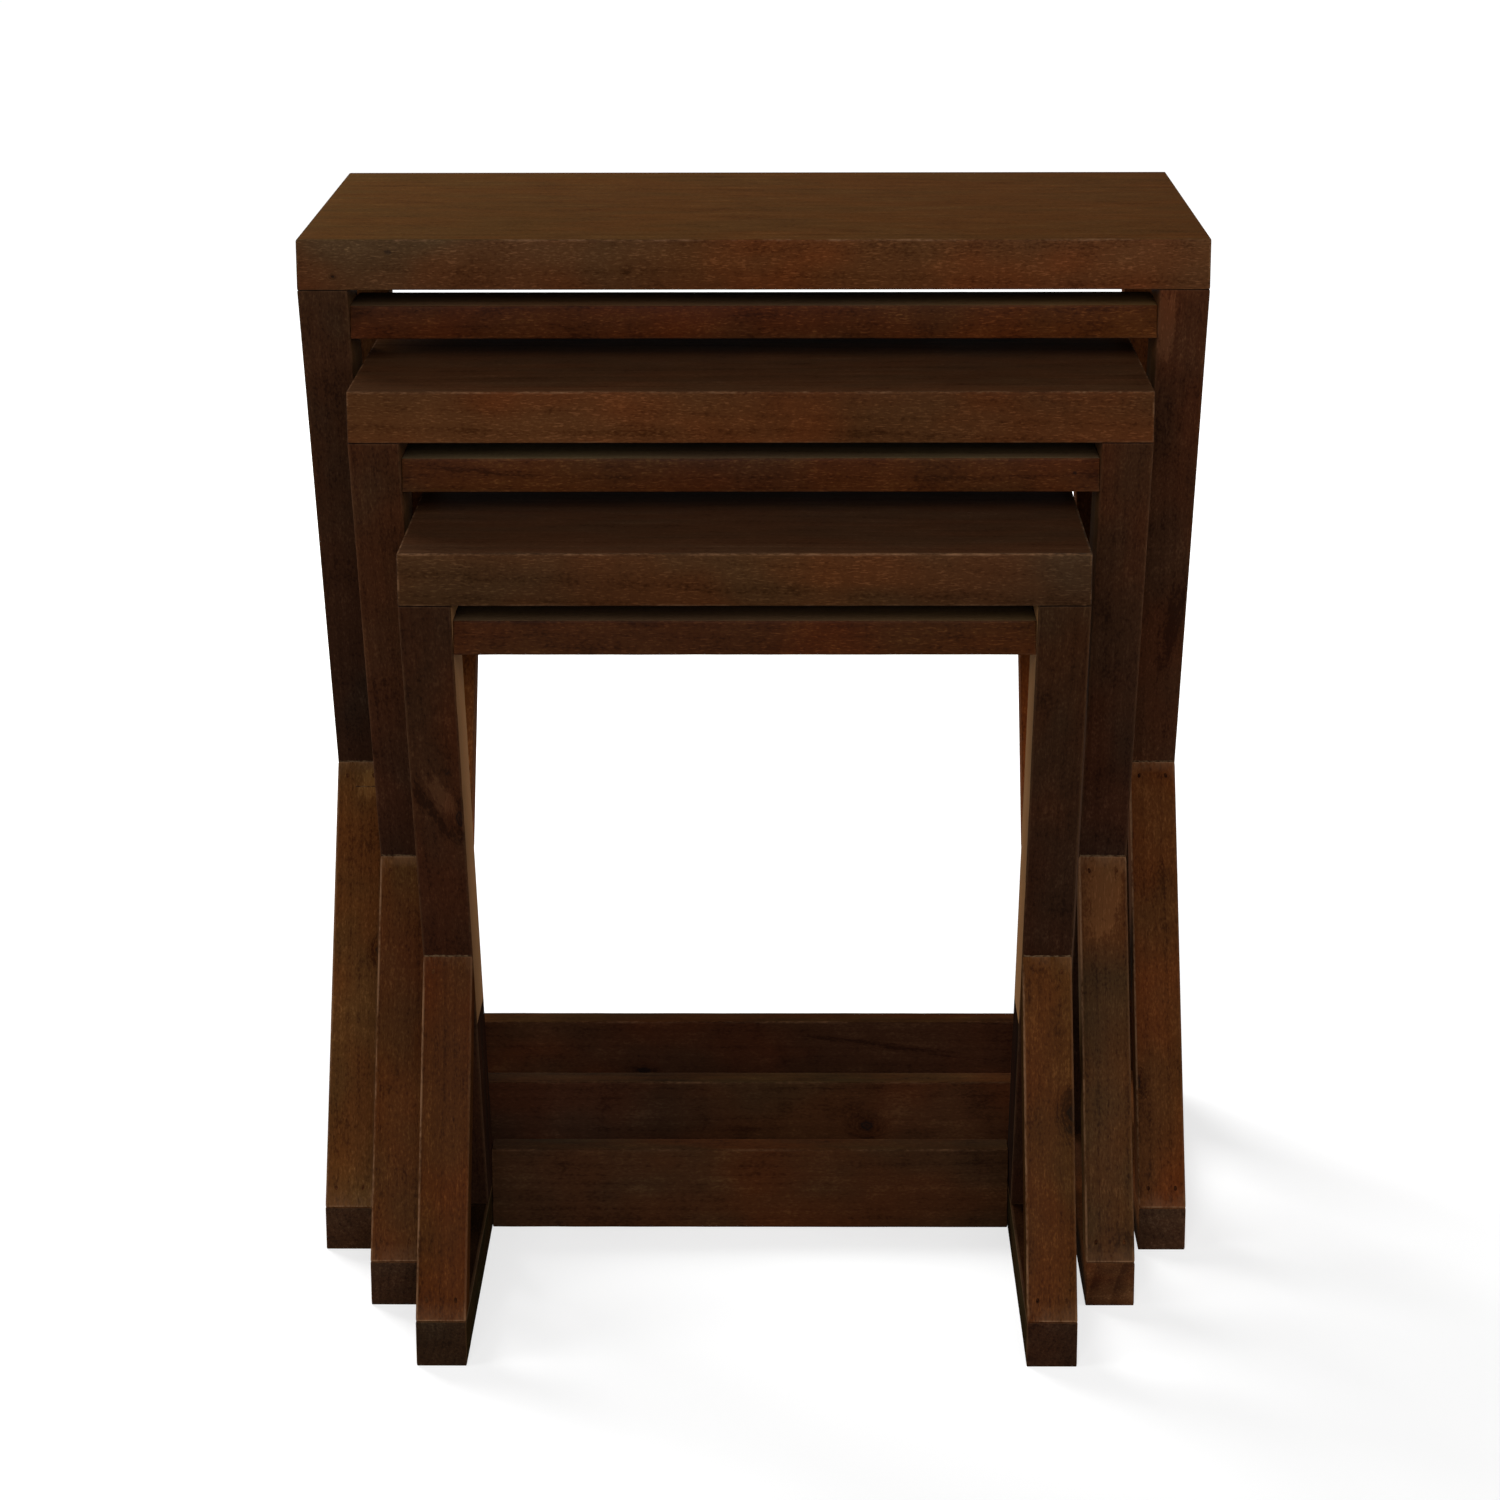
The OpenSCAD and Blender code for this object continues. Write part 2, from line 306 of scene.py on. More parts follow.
fibre_group, given, result = new_group(
    "wood fibre", [("Log", "Vector")],
    [("Pores", "Float"), ("Flecks", "Float"), ("Streaks", "Float"), ("Mottle", "Float"),
     ("Dust", "Float"), ("Cast", "Float")])
t = fibre_group
grain = given["Log"]
broad = noise(t, grain, *BROAD_STREAK, detail=3, rough=0.6)
fine = noise(t, grain, *FINE_STREAK)
fill_in(t, result, {
    "Pores": ramp(t, noise(t, grain, *PORE, detail=1), 0.60, 0.74),
    "Flecks": ramp(t, noise(t, grain, *FLECK, detail=1), 0.58, 0.70),
    "Streaks": plus(t, times(t, broad, 0.6), times(t, fine, 0.4)),
    "Mottle": noise(t, grain, *BLOTCH, detail=3, rough=0.6),
    "Dust": noise(t, grain, *DUST), "Cast": noise(t, grain, *CAST)})
print("made", fibre_group.name)

# %% [markdown]
# ## Knots, eyes, flames and shadows
# A knot is the root of a branch: a dark core, a ring or two around it, and grain that swells past it.
# Each board carries the way from its knot's middle, counted in knot radii, so one group serves every
# board. A board with no knot is told that its knot is far away. An eye, which is a second, smaller knot,
# a flame, where the grain dives and shows a paler tongue, and a shadow, where the stain has gathered,
# are told in the same way. Flame and shadow have no core, only a soft ragged rim.

# %% Knot, flame and shadow group
MARKS = ("From Knot", "From Eye", "From Flame", "From Shadow")
knot_group, given, result = new_group(
    "knot, flame and shadow",
    [(label, "Vector") for label in MARKS],
    [("Core", "Float"), ("Halo", "Float"), ("Rings", "Float"), ("Flame", "Float"), ("Shadow", "Float")])
t = knot_group


def ragged(way, scale, wobble):
    """How far a point is from a middle, with the rim pushed in and out by a noise."""
    cloud = node(t, "TexNoise", {"Vector": way, "Scale": scale, "Detail": 3.0}).outputs["Fac"]
    return plus(t, length_of(t, way), swing(t, cloud, wobble))


far = ragged(given["From Knot"], 1.6, 0.9)
eye = ragged(given["From Eye"], 1.6, 0.9)
core, small_core = ramp(t, far, 0.55, 0.95, 1.0, 0.0), ramp(t, eye, 0.4, 1.0, 0.8, 0.0)
fill_in(t, result, {
    "Core": sums(t, "MAXIMUM", core, small_core), "Halo": ramp(t, far, 0.8, 3.2, 1.0, 0.0),
    "Rings": times(t, sums(t, "PINGPONG", far, 0.28), 3.5),
    "Flame": ramp(t, ragged(given["From Flame"], 2.2, 1.4), 0.2, 1.3, 1.0, 0.0),
    "Shadow": ramp(t, ragged(given["From Shadow"], 2.2, 2.0), 0.2, 1.3, 1.0, 0.0)})
print("made", knot_group.name)

# %% [markdown]
# ## Worn arrises
# Along each arris the stain is rubbed thin and shows a pale broken line, and at the glued joints a
# little glue and filler does the same. The boards carry how near they are to an arris, and a noise
# breaks the line up, so that it comes and goes as hand sanding leaves it.

# %% Worn arris group
PATCH, SPECK = (50 * mm, 12 * mm, 12 * mm), (3 * mm, 1.2 * mm, 1.2 * mm)

wear_group, given, result = new_group(
    "worn arris", [("Log", "Vector"), ("Arris", "Float"), ("Amount", "Float", 0.5)],
    [("Wear", "Float")])
t = wear_group
patches = noise(t, given["Log"], *PATCH, detail=4, rough=0.65)
specks = noise(t, given["Log"], *SPECK)
worn = plus(t, times(t, patches, 0.65), times(t, specks, 0.35))
worn = plus(t, worn, times(t, minus(t, given["Amount"], 1.0), 0.4))
fill_in(t, result, {"Wear": times(t, given["Arris"], ramp(t, worn, 0.24, 0.48))})
print("made", wear_group.name)

# %% [markdown]
# ## The stained board
# Stain sinks deeper into soft early wood and open pores, and slides off hard late wood. So the colour
# of a board is a walk between a deep, a middle and a pale brown, driven by the rings, the streaks and
# the blotches, up in a flame and down in a shadow. One group does this for every finish, and each finish
# gives it its own three browns. It starts with the sockets, and with the three groups made above.

# %% Stained board group: what goes in
KNOT_SWELL = {"Y": 6 * mm, "Z": 4 * mm}

board_group, given, result = new_group(
    "stained board",
    [(label, "Vector") for label in ("Log", "Tone") + MARKS]
    + [("Arris", "Float"),
       ("Deep", "Color"), ("Middle", "Color"), ("Pale", "Color"), ("Worn", "Color"),
       ("Ring Spacing", "Float", 0.006), ("Ring Contrast", "Float", 0.12),
       ("Drift", "Float", 0.01), ("Streakiness", "Float", 0.3), ("Mottling", "Float", 1.2),
       ("Dustiness", "Float", 1.2), ("Casting", "Float", 1.0), ("Pore Depth", "Float", 0.35),
       ("Fleck Amount", "Float", 0.4), ("Wear Amount", "Float", 0.5)],
    [("Color", "Color"), ("Roughness", "Float"), ("Height", "Float")])
t = board_group
knot = use(t, knot_group, **{label.replace(" ", "_"): given[label] for label in MARKS})
swell = {axis: times(t, knot["Halo"], amount) for axis, amount in KNOT_SWELL.items()}
log = vectors(t, "ADD", given["Log"], node(t, "CombineXYZ", swell).outputs[0])
rings = use(t, rings_group, Log=log, Spacing=given["Ring Spacing"], Drift=given["Drift"])
fibre = use(t, fibre_group, Log=log)
wear = use(t, wear_group, Log=given["Log"], Arris=given["Arris"], Amount=given["Wear Amount"])
print("placed", knot_group.name, rings_group.name, fibre_group.name, wear_group.name, sep=", ")

# %% [markdown]
# ## The stained board: its colour
# The walk picks the brown. Pores then darken it, flecks lighten it, and a slow cast makes one part of
# the board redder and another greener, as the two browns of a real stain part. A knot is nearly black
# where its core is not broken by a ring. The board's own tint comes last, and the rubbed arris over it.

# %% Stained board group: colour
BAND_SWING, HALO_DARK, FLAME_LIGHT, SHADOW_DARK = 0.3, 0.25, 0.75, 0.5
PORE_TONE, FLECK_TONE = (0.3, 0.3, 0.3, 1), (2.2, 2.4, 2.6, 1)
RED_CAST, GREEN_CAST = (1.10, 0.94, 0.85, 1), (0.88, 1.0, 1.05, 1)
KNOT_RING_TONE, KNOT_CORE = (0.35, 0.3, 0.3, 1), (0.006, 0.004, 0.003, 1)

walk = 0.5
for part, amount in ((fibre["Streaks"], given["Streakiness"]), (fibre["Mottle"], given["Mottling"]),
                     (rings["Band"], BAND_SWING), (fibre["Dust"], given["Dustiness"])):
    walk = plus(t, walk, swing(t, part, amount))
for part, amount in ((rings["Late Wood"], given["Ring Contrast"]), (knot["Halo"], HALO_DARK),
                     (knot["Flame"], -FLAME_LIGHT), (knot["Shadow"], SHADOW_DARK)):
    walk = minus(t, walk, times(t, part, amount))
colour = mix(t, ramp(t, walk, 0.0, 0.5), given["Deep"], given["Middle"])
colour = mix(t, ramp(t, walk, 0.5, 1.0), colour, given["Pale"])
pores = times(t, fibre["Pores"], given["Pore Depth"])
colour = mix(t, pores, colour, PORE_TONE, "MULTIPLY")
colour = mix(t, times(t, fibre["Flecks"], given["Fleck Amount"]), colour, FLECK_TONE, "MULTIPLY")
cast = mix(t, ramp(t, fibre["Cast"], 0.35, 0.65), RED_CAST, GREEN_CAST)
colour = mix(t, given["Casting"], colour, cast, "MULTIPLY")
round_knot = times(t, times(t, knot["Rings"], knot["Halo"]), 0.45)
colour = mix(t, round_knot, colour, KNOT_RING_TONE, "MULTIPLY")
cored = times(t, knot["Core"], minus(t, 0.9, times(t, knot["Rings"], 0.55)))
colour = mix(t, cored, colour, KNOT_CORE)
colour = mix(t, 1.0, colour, given["Tone"], "MULTIPLY")
fill_in(t, result, {"Color": mix(t, wear["Wear"], colour, given["Worn"])})
print("the colour takes", len(t.nodes), "nodes")

# %% [markdown]
# ## The stained board: its surface
# A satin lacquer follows the wood under it. It is a little rougher where the stain is blotchy, over open
# pores and on a rubbed arris. The height for the bump rises with the streaks, and falls in the pores and
# in the core of a knot.

# %% Stained board group: surface
SATIN = 0.42
rough = plus(t, SATIN, swing(t, fibre["Mottle"], 0.25))
rough = plus(t, rough, times(t, pores, 0.25))
rough = plus(t, rough, times(t, wear["Wear"], 0.15))
height = minus(t, times(t, fibre["Streaks"], 0.25), pores)
height = minus(t, height, times(t, knot["Core"], 0.5))
fill_in(t, result, {"Roughness": rough, "Height": height})
print("made", board_group.name, "with", len(t.nodes), "nodes")

# %% [markdown]
# ## A finish of the stained board
# A material reads what the board carries, hands it to the group, and adds the lacquer. That is thin
# and satin: no plain specular, a slight coat and a middling roughness keep it from looking like plastic.
# Some finishes have a warm sheen too, which lights a face that is seen almost edge on, as fine dust and
# wax on a side face do.

# %% Stained wood
LACQUER_ROUGHNESS, BOARD_BUMP, BUMP_DEPTH = 0.35, 0.25, 0.2 * mm
SHEEN_ROUGHNESS, SHEEN_TINT = 0.4, (1.0, 0.5, 0.2)
WORN = (0.15, 0.075, 0.036)
finishes = {}


def attribute_of(label):
    """The name under which a mesh carries what a socket asks for."""
    return label.lower().replace(" ", "_")


def stained_wood(name, deep, middle, pale, sheen=0.0, lacquer=0.015, **values):
    """Makes one finish of the stained board, and keeps it under its name."""
    finishes[name], tree, shader = new_material(name)
    carried = {label: node(tree, "Attribute", attribute_name=attribute_of(label)).outputs
               for label in ("Log", "Tone", "Arris") + MARKS}
    marks = {label.replace(" ", "_"): carried[label]["Vector"] for label in MARKS}
    board = use(tree, board_group, Log=carried["Log"]["Vector"], Tone=carried["Tone"]["Vector"],
                Arris=carried["Arris"]["Fac"], Deep=(*deep, 1), Middle=(*middle, 1), Pale=(*pale, 1),
                Worn=(*WORN, 1), **marks, **values)
    bumps = node(tree, "Bump", {"Height": board["Height"], "Strength": BOARD_BUMP,
                                "Distance": BUMP_DEPTH})
    fill_in(tree, shader, {
        "Base Color": board["Color"], "Roughness": board["Roughness"], "Normal": bumps.outputs[0],
        "Specular IOR Level": 0.0, "Coat Weight": lacquer, "Coat Roughness": LACQUER_ROUGHNESS,
        "Sheen Weight": sheen, "Sheen Roughness": SHEEN_ROUGHNESS, "Sheen Tint": (*SHEEN_TINT, 1)})


print("a board carries", [attribute_of(label) for label in ("Log", "Tone", "Arris") + MARKS])

# %% [markdown]
# ## The finishes of the boards
# The tops, the frames and the rails come from different planks, so each has its own browns, from deep to
# pale. A top is wiped along its length and shows few flecks, and its sanded front edge shows many. The
# nested tops get darker, cooler browns, painted shade for the table above them. On the small table's
# frames, the inner faces up high get paler browns and a strong sheen, painted light for the light they
# catch edge on, and lower down they are matt, without lacquer, which keeps them dark in the shade there.
# The top of a rail gets paler, greyer browns, a painted reflection of the light in the narrow gap under
# the top. End grain drinks more stain, which makes it darker and greyer, and it has no long streaks to
# speak of. One foot bar has a redder, more open end.

# %% Wood finishes
FRAME_BROWNS = (0.026, 0.0085, 0.0030), (0.056, 0.0190, 0.0060), (0.095, 0.036, 0.0115)
RAIL_BROWNS = (0.022, 0.0061, 0.0022), (0.044, 0.0127, 0.0041), (0.071, 0.024, 0.0075)

stained_wood("top_wood", (0.030, 0.0105, 0.0030), (0.060, 0.0240, 0.0070), (0.100, 0.044, 0.0140),
             Streakiness=0.45, Mottling=0.7, Dustiness=0.9, Casting=0.4, Ring_Contrast=0.08,
             Fleck_Amount=0.1)
# Painted shade: darker, cooler browns for the nested tops, which lie under the table above.
stained_wood("nested_top", (0.0265, 0.0097, 0.0039), (0.053, 0.0220, 0.0091), (0.088, 0.041, 0.0182),
             Streakiness=0.4, Mottling=0.7, Dustiness=0.8, Casting=0.4, Ring_Contrast=0.08,
             Fleck_Amount=0.1)
stained_wood("top_edge", (0.028, 0.0085, 0.0024), (0.058, 0.0195, 0.0062), (0.103, 0.038, 0.0125),
             Dustiness=0.9, Mottling=0.7, Fleck_Amount=0.5)
stained_wood("frame_wood", *FRAME_BROWNS, sheen=0.05, Mottling=1.0, Dustiness=1.2, Fleck_Amount=0.3,
             Wear_Amount=0.72)
stained_wood("inner_wood", *FRAME_BROWNS, lacquer=0.0, Mottling=1.0)
# Painted light: paler browns and a strong sheen for the small table's upper inner faces, which catch the
# light edge on.
stained_wood("frame_side", (0.029, 0.0093, 0.0032), (0.062, 0.0210, 0.0063), (0.103, 0.039, 0.0118),
             sheen=0.25, Mottling=0.4, Dustiness=0.5)
stained_wood("rail_wood", *RAIL_BROWNS, lacquer=0.03, Streakiness=0.45, Dustiness=1.1,
             Fleck_Amount=0.6)
# Painted reflection: pale, greyish browns for the tops of the rails, in the narrow gap under the top.
stained_wood("rail_top", (0.069, 0.039, 0.021), (0.115, 0.067, 0.035), (0.160, 0.095, 0.052),
             Streakiness=0.6, Mottling=0.6, Dustiness=0.8, Casting=0.0, Fleck_Amount=0.1)
stained_wood("stretcher_wood", *RAIL_BROWNS, lacquer=0.01, Streakiness=0.4, Dustiness=0.9,
             Fleck_Amount=0.2)
stained_wood("end_grain", (0.014, 0.0065, 0.0036), (0.026, 0.0120, 0.0060), (0.044, 0.022, 0.0115),
             Ring_Spacing=0.0045, Ring_Contrast=0.18, Drift=0.006, Mottling=1.1, Dustiness=1.4,
             Casting=0.6, Pore_Depth=0.3)
stained_wood("red_end", (0.032, 0.0105, 0.0042), (0.057, 0.0195, 0.0070), (0.105, 0.040, 0.0150),
             Ring_Spacing=0.013, Ring_Contrast=0.35, Drift=0.006, Mottling=1.8, Dustiness=0.8,
             Pore_Depth=0.2)
print("finishes", ", ".join(finishes))

# %% [markdown]
# ## Filler, glue, dowels and nails
# The nails are hidden under a slightly crumbly filler, which is matter than the lacquer round it. Some
# of it is dark and some is matched to the wood. Glue that was pressed out of a seam dries to a pale
# broken line. Inside the joints there are plain beech dowels and bright wire nails. They never show, but
# they keep their own finish for anyone who takes the tables apart. None of these follows a board, so
# their patterns can simply use the object's own coordinates.

# %% Small finishes
CRUMB, GLUE_CRUMB = (1.2 * mm, 1.2 * mm, 1.2 * mm), (2.8 * mm, 1.6 * mm, 1.6 * mm)
PASTE = {"rough": 0.8, "bump": 0.5}
BEECH_FIBRE, DRAWN_WIRE = (12 * mm, 0.8 * mm, 0.8 * mm), (2 * mm, 0.3 * mm, 0.3 * mm)


def plain_finish(name, dark, light, lengths, rough, metallic=0.0, bump=0.2):
    """A finish of two colours in a stretched noise, with a little bump."""
    made, tree, shader = new_material(name)
    cloud = noise(tree, node(tree, "TexCoord").outputs["Object"], *lengths, detail=4)
    colour = mix(tree, ramp(tree, cloud, 0.35, 0.65), (*dark, 1), (*light, 1))
    bumps = node(tree, "Bump", {"Height": cloud, "Strength": bump, "Distance": BUMP_DEPTH})
    fill_in(tree, shader, {
        "Base Color": colour, "Roughness": ramp(tree, cloud, 0.3, 0.7, rough - 0.1, rough + 0.1),
        "Normal": bumps.outputs[0], "Metallic": metallic,
        "Specular IOR Level": 0.5 if metallic else 0.0})
    print("finish", name)
    return made


filler_paste = plain_finish("nail_filler", (0.008, 0.0030, 0.0013), (0.030, 0.0100, 0.0035), CRUMB,
                            **PASTE)
matched_paste = plain_finish("matched_filler", (0.034, 0.0115, 0.0040), (0.060, 0.0210, 0.0070), CRUMB,
                             **PASTE)
dry_glue = plain_finish("glue_line", (0.020, 0.010, 0.005), (0.090, 0.054, 0.028), GLUE_CRUMB, **PASTE)
beech = plain_finish("dowel_wood", (0.36, 0.22, 0.12), (0.52, 0.36, 0.21), BEECH_FIBRE, 0.7)
wire_steel = plain_finish("nail_steel", (0.30, 0.30, 0.31), (0.48, 0.48, 0.50), DRAWN_WIRE, 0.35,
                          metallic=1.0)

# %% [markdown]
# ## Stock and saw
# Every wooden piece starts as a straight piece of stock: a cube primitive at its size and place. Where
# it needs a slant, it is sawn with bisect, which closes the cut too. The helpers stand for what a hand
# does in the viewport: open one piece in edit mode, then pick some of its edges or faces by a test.

# %% Stock and saw
def only(piece):
    """Deselects everything, then selects this piece and makes it active."""
    bpy.ops.object.select_all(action="DESELECT")
    piece.select_set(True)
    bpy.context.view_layer.objects.active = piece


def edit(piece):
    """Opens a piece in edit mode, with all of it selected."""
    only(piece)
    bpy.ops.object.mode_set(mode="EDIT")
    bpy.ops.mesh.select_all(action="SELECT")


def close():
    """Goes back to object mode, where the mesh holds what was changed."""
    bpy.ops.object.mode_set(mode="OBJECT")


def pick(piece, kind, test):
    """In edit mode, selects only the edges or faces that pass the test."""
    bpy.ops.mesh.select_mode(type={"edges": "EDGE", "polygons": "FACE"}[kind])
    bpy.ops.mesh.select_all(action="DESELECT")
    close()
    for item in getattr(piece.data, kind):
        if test(item):
            item.select = True
    bpy.ops.object.mode_set(mode="EDIT")


def stock(name, middle, size, lean=0.0):
    """A straight piece of timber, size along X, Y and Z, leaning back about X."""
    bpy.ops.object.select_all(action="DESELECT")
    bpy.ops.mesh.primitive_cube_add(size=1, location=middle, rotation=(lean, 0, 0), scale=size)
    piece = bpy.context.object
    piece.name = piece.data.name = name
    bpy.ops.object.transform_apply(location=True, rotation=True, scale=True)
    return piece


def saw(piece, point, outwards):
    """Cuts off what lies beyond a plane, and closes the cut."""
    edit(piece)
    bpy.ops.mesh.bisect(plane_co=point, plane_no=outwards, use_fill=True, clear_outer=True)
    close()


print("stock and saw are ready")

# %% [markdown]
# ## Eased arrises
# A cabinetmaker takes the sharpness off each edge with a few strokes of a plane. Here a small round
# bevel does that. A narrow inset then frames each face, which keeps the rubbed stain close to the edge.
# Cuts along the length give the next step, the wear, some corners to move.

# %% Easing the arrises
ARRIS_RADIUS, ARRIS_FRAME = 0.7 * mm, 0.8 * mm
CUT_STEP = 12 * mm
PARALLEL = 0.99


def way_of(piece, edge):
    """The way from one end of an edge to the other."""
    start, end = (piece.data.vertices[index].co for index in edge.vertices)
    return end - start


def ease(piece, along):
    """Rounds the arrises, frames the six faces and adds cuts along the length."""
    edit(piece)
    bpy.ops.mesh.bevel(offset=ARRIS_RADIUS, segments=3, profile=0.5, affect="EDGES")
    close()
    smallest = sorted((face.area for face in piece.data.polygons), reverse=True)[5] * 0.999
    bpy.ops.object.mode_set(mode="EDIT")
    pick(piece, "polygons", lambda face: face.area >= smallest)
    bpy.ops.mesh.inset(thickness=ARRIS_FRAME, use_individual=True)
    close()
    longest = max(way_of(piece, edge).length for edge in piece.data.edges)

    def runs_along(edge):
        way = way_of(piece, edge)
        return way.length > 0.5 * longest and abs(way.normalized().dot(along)) > PARALLEL
    bpy.ops.object.mode_set(mode="EDIT")
    pick(piece, "edges", runs_along)
    bpy.ops.mesh.subdivide(number_cuts=max(2, int(longest / CUT_STEP)))
    bpy.ops.mesh.select_all(action="SELECT")
    bpy.ops.mesh.normals_make_consistent(inside=False)
    close()


print("arris radius", ARRIS_RADIUS)

# %% [markdown]
# ## Hand wear
# No arris on a used table is ruler straight. A Displace modifier with a clouds texture nibbles at the
# arrises, always inwards, so that a board never grows past its size. A vertex group keeps the faces out
# of it: it says how near each corner is to an arris, which is read from the six planes of the board.

# %% Hand wear
WEAR_DEPTH = 0.3 * mm


def clouds(name, size):
    """A clouds texture with blobs of this size."""
    made = bpy.data.textures.new(name, "CLOUDS")
    made.noise_scale = size
    return made


def displace(piece, texture, mid_level, strength, direction="NORMAL", group=""):
    """Moves the surface of the active piece by a texture."""
    bpy.ops.object.modifier_add(type="DISPLACE")
    change = piece.modifiers[-1]
    change.texture, change.texture_coords, change.direction = texture, "LOCAL", direction
    change.vertex_group, change.mid_level, change.strength = group, mid_level, strength
    bpy.ops.object.modifier_apply(modifier=change.name)


def face_planes(piece):
    """The six broad faces of a board: a point on each, and its outward direction."""
    broad = sorted(piece.data.polygons, key=lambda face: -face.area)[:6]
    return [(face.center.copy(), face.normal.copy()) for face in broad]


def near_arris(point, planes):
    """1 on a rounded arris, falling to 0 where the inset frame ends."""
    depths = sorted(abs((point - on).dot(way)) for on, way in planes)
    return min(1.0, max(0.0, 1 - (depths[1] - ARRIS_RADIUS) / ARRIS_FRAME))


def nibble(piece, weights):
    """Wears the arrises unevenly, always inwards."""
    only(piece)
    group = piece.vertex_groups.new(name="arris")
    for index, weight in enumerate(weights):
        group.add([index], weight, "REPLACE")
    displace(piece, HAND_WEAR, 0.0, -WEAR_DEPTH, group="arris")
    piece.vertex_groups.clear()


HAND_WEAR = clouds("hand_wear", 9 * mm)
print("made", HAND_WEAR.name)

# %% [markdown]
# ## Where each board sat in its log
# The wood pattern reads three numbers that the mesh itself carries: how far along the log, and how far
# from its pith in two directions. Each board gets its own random but repeatable start, so that no two
# boards show the same figure. A slight tilt against the pith makes the flat faces show long pointed
# arches. The way from each mark and the tint of the plank are stored beside it.

# %% Log, marks and tint
LOG_LENGTH, PITH_ASIDE, PITH_BELOW = 3.0, 30 * mm, (35 * mm, 90 * mm)
LOG_TILT = 1.2
FAR_AWAY = (9, 9, 9)
MARK_DEEPER = 3


def carry(piece, name, values):
    """Stores one vector per vertex."""
    made = piece.data.attributes.new(name, "FLOAT_VECTOR", "POINT")
    made.data.foreach_set("vector", [number for value in values for number in value])


def tint(stops, share):
    """The colour at a share of the length, between given stops of a share and a colour."""
    before = [stop for stop in stops if stop[0] <= share] or stops[:1]
    after = [stop for stop in stops if stop[0] > share] or stops[-1:]
    (a, *low), (b, *high) = before[-1], after[0]
    part = (share - a) / (b - a) if b > a else 0.0
    return Vector(low).lerp(Vector(high), part)


def sawn_from_log(piece, along, across, tone_at, marks):
    """Gives a board its place in the log, its tint and its marks, which start at its front face."""
    chance = random.Random(piece.name)
    along, across = along.normalized(), across.normalized()
    ways = (along, across, along.cross(across))
    low = [min(v.co.dot(way) for v in piece.data.vertices) for way in ways]
    high = [max(v.co.dot(way) for v in piece.data.vertices) for way in ways]
    start = Vector((chance.uniform(-LOG_LENGTH, LOG_LENGTH), chance.uniform(-PITH_ASIDE, PITH_ASIDE),
                    chance.choice((-1, 1)) * chance.uniform(*PITH_BELOW)))
    lean = Matrix.Identity(3)
    for axis in "YZ":
        lean = lean @ Matrix.Rotation(math.radians(chance.uniform(-LOG_TILT, LOG_TILT)), 3, axis)
    board = [Vector([v.co.dot(way) - (a + b) / 2 for way, a, b in zip(ways, low, high)])
             for v in piece.data.vertices]
    carry(piece, "log", [lean @ place + start for place in board])
    size = [b - a for a, b in zip(low, high)]
    front = 0.0 if across.y > 0 else 1.0
    for label in MARKS:
        name, kind = attribute_of(label), label.split()[-1].lower()
        if kind not in marks:
            carry(piece, name, [FAR_AWAY] * len(board))
            continue
        share, height, length, width, slant = marks[kind]
        seat = Vector([(s - 0.5) * reach for s, reach in zip((share, front, height), size)])
        turn = Matrix.Rotation(math.radians(slant), 3, "Y")
        radii = length * mm, MARK_DEEPER * width * mm, width * mm
        gone = [turn @ (place - seat) for place in board]
        carry(piece, name, [[way / radius for way, radius in zip(v, radii)] for v in gone])
    shares = [[place[i] / size[i] + 0.5 for i in range(3)] for place in board]
    carry(piece, "tone", [tone_at(*share) for share in shares])
    return shares


print("a pith lies at most", PITH_BELOW[1], "from the middle of its board")

# %% [markdown]
# ## Which face gets which finish
# Long grain and sawn ends are different surfaces of one board, so a board has several material slots.
# A face that looks along the board is end grain. Some boards have a third finish on certain faces, such as
# the sanded edge of a top, or the top of a rail, whose paler browns are a painted reflection. A small test
# picks those by their normal.

# %% Finishes by face
TOWARDS = 0.75
BOARD_SMOOTH = math.radians(35)


def board_finish(piece, along, names, weights, second):
    """Puts the finishes on the long grain and the sawn ends, and others where a test says so."""
    for name in names:
        piece.data.materials.append(finishes[name])
    for face in piece.data.polygons:
        if abs(face.normal.dot(along)) > TOWARDS:
            face.material_index = 1
        elif second:
            face.material_index = second(face)
    made = piece.data.attributes.new("arris", "FLOAT", "POINT")
    made.data.foreach_set("value", weights)
    only(piece)
    bpy.ops.object.shade_smooth_by_angle(angle=BOARD_SMOOTH)


def front_and_back(face):
    """The third finish on a board's front and back."""
    return 2 if abs(face.normal.y) > TOWARDS else 0


def upper(face):
    """The third finish on a board's upper face."""
    return 2 if face.normal.z > TOWARDS else 0


def hidden_side(inwards):
    """A test that gives the third finish to faces that look up, or into the nest."""
    return lambda face: 2 if max(face.normal.x * inwards, face.normal.z) > PARALLEL else 0


def inner_side(inwards, painted_sheen_from):
    """A test for the faces that look into the nest: up high the third finish, with painted light, and down
    low the fourth, matt one.
    """
    def finish(face):
        if face.normal.x * inwards < PARALLEL:
            return 0
        return 2 if face.center.z > painted_sheen_from else 3
    return finish


print("end grain within", round(math.degrees(math.acos(TOWARDS))), "degrees of the board's length")

# %% [markdown]
# ## Nail seats
# The braces are nailed to the diagonals and foot bars, and the nails are punched below the face. What
# shows is a small slanting oval of filler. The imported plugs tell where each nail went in, so one oval
# cutter is made and copied to each place, and a Boolean takes a shallow seat out of the brace.

# %% Nail seats
NAIL_OVAL = (0.95 * mm, 1.55 * mm)
SEAT_DEPTH, PLUG_REACH = 0.8 * mm, 6 * mm


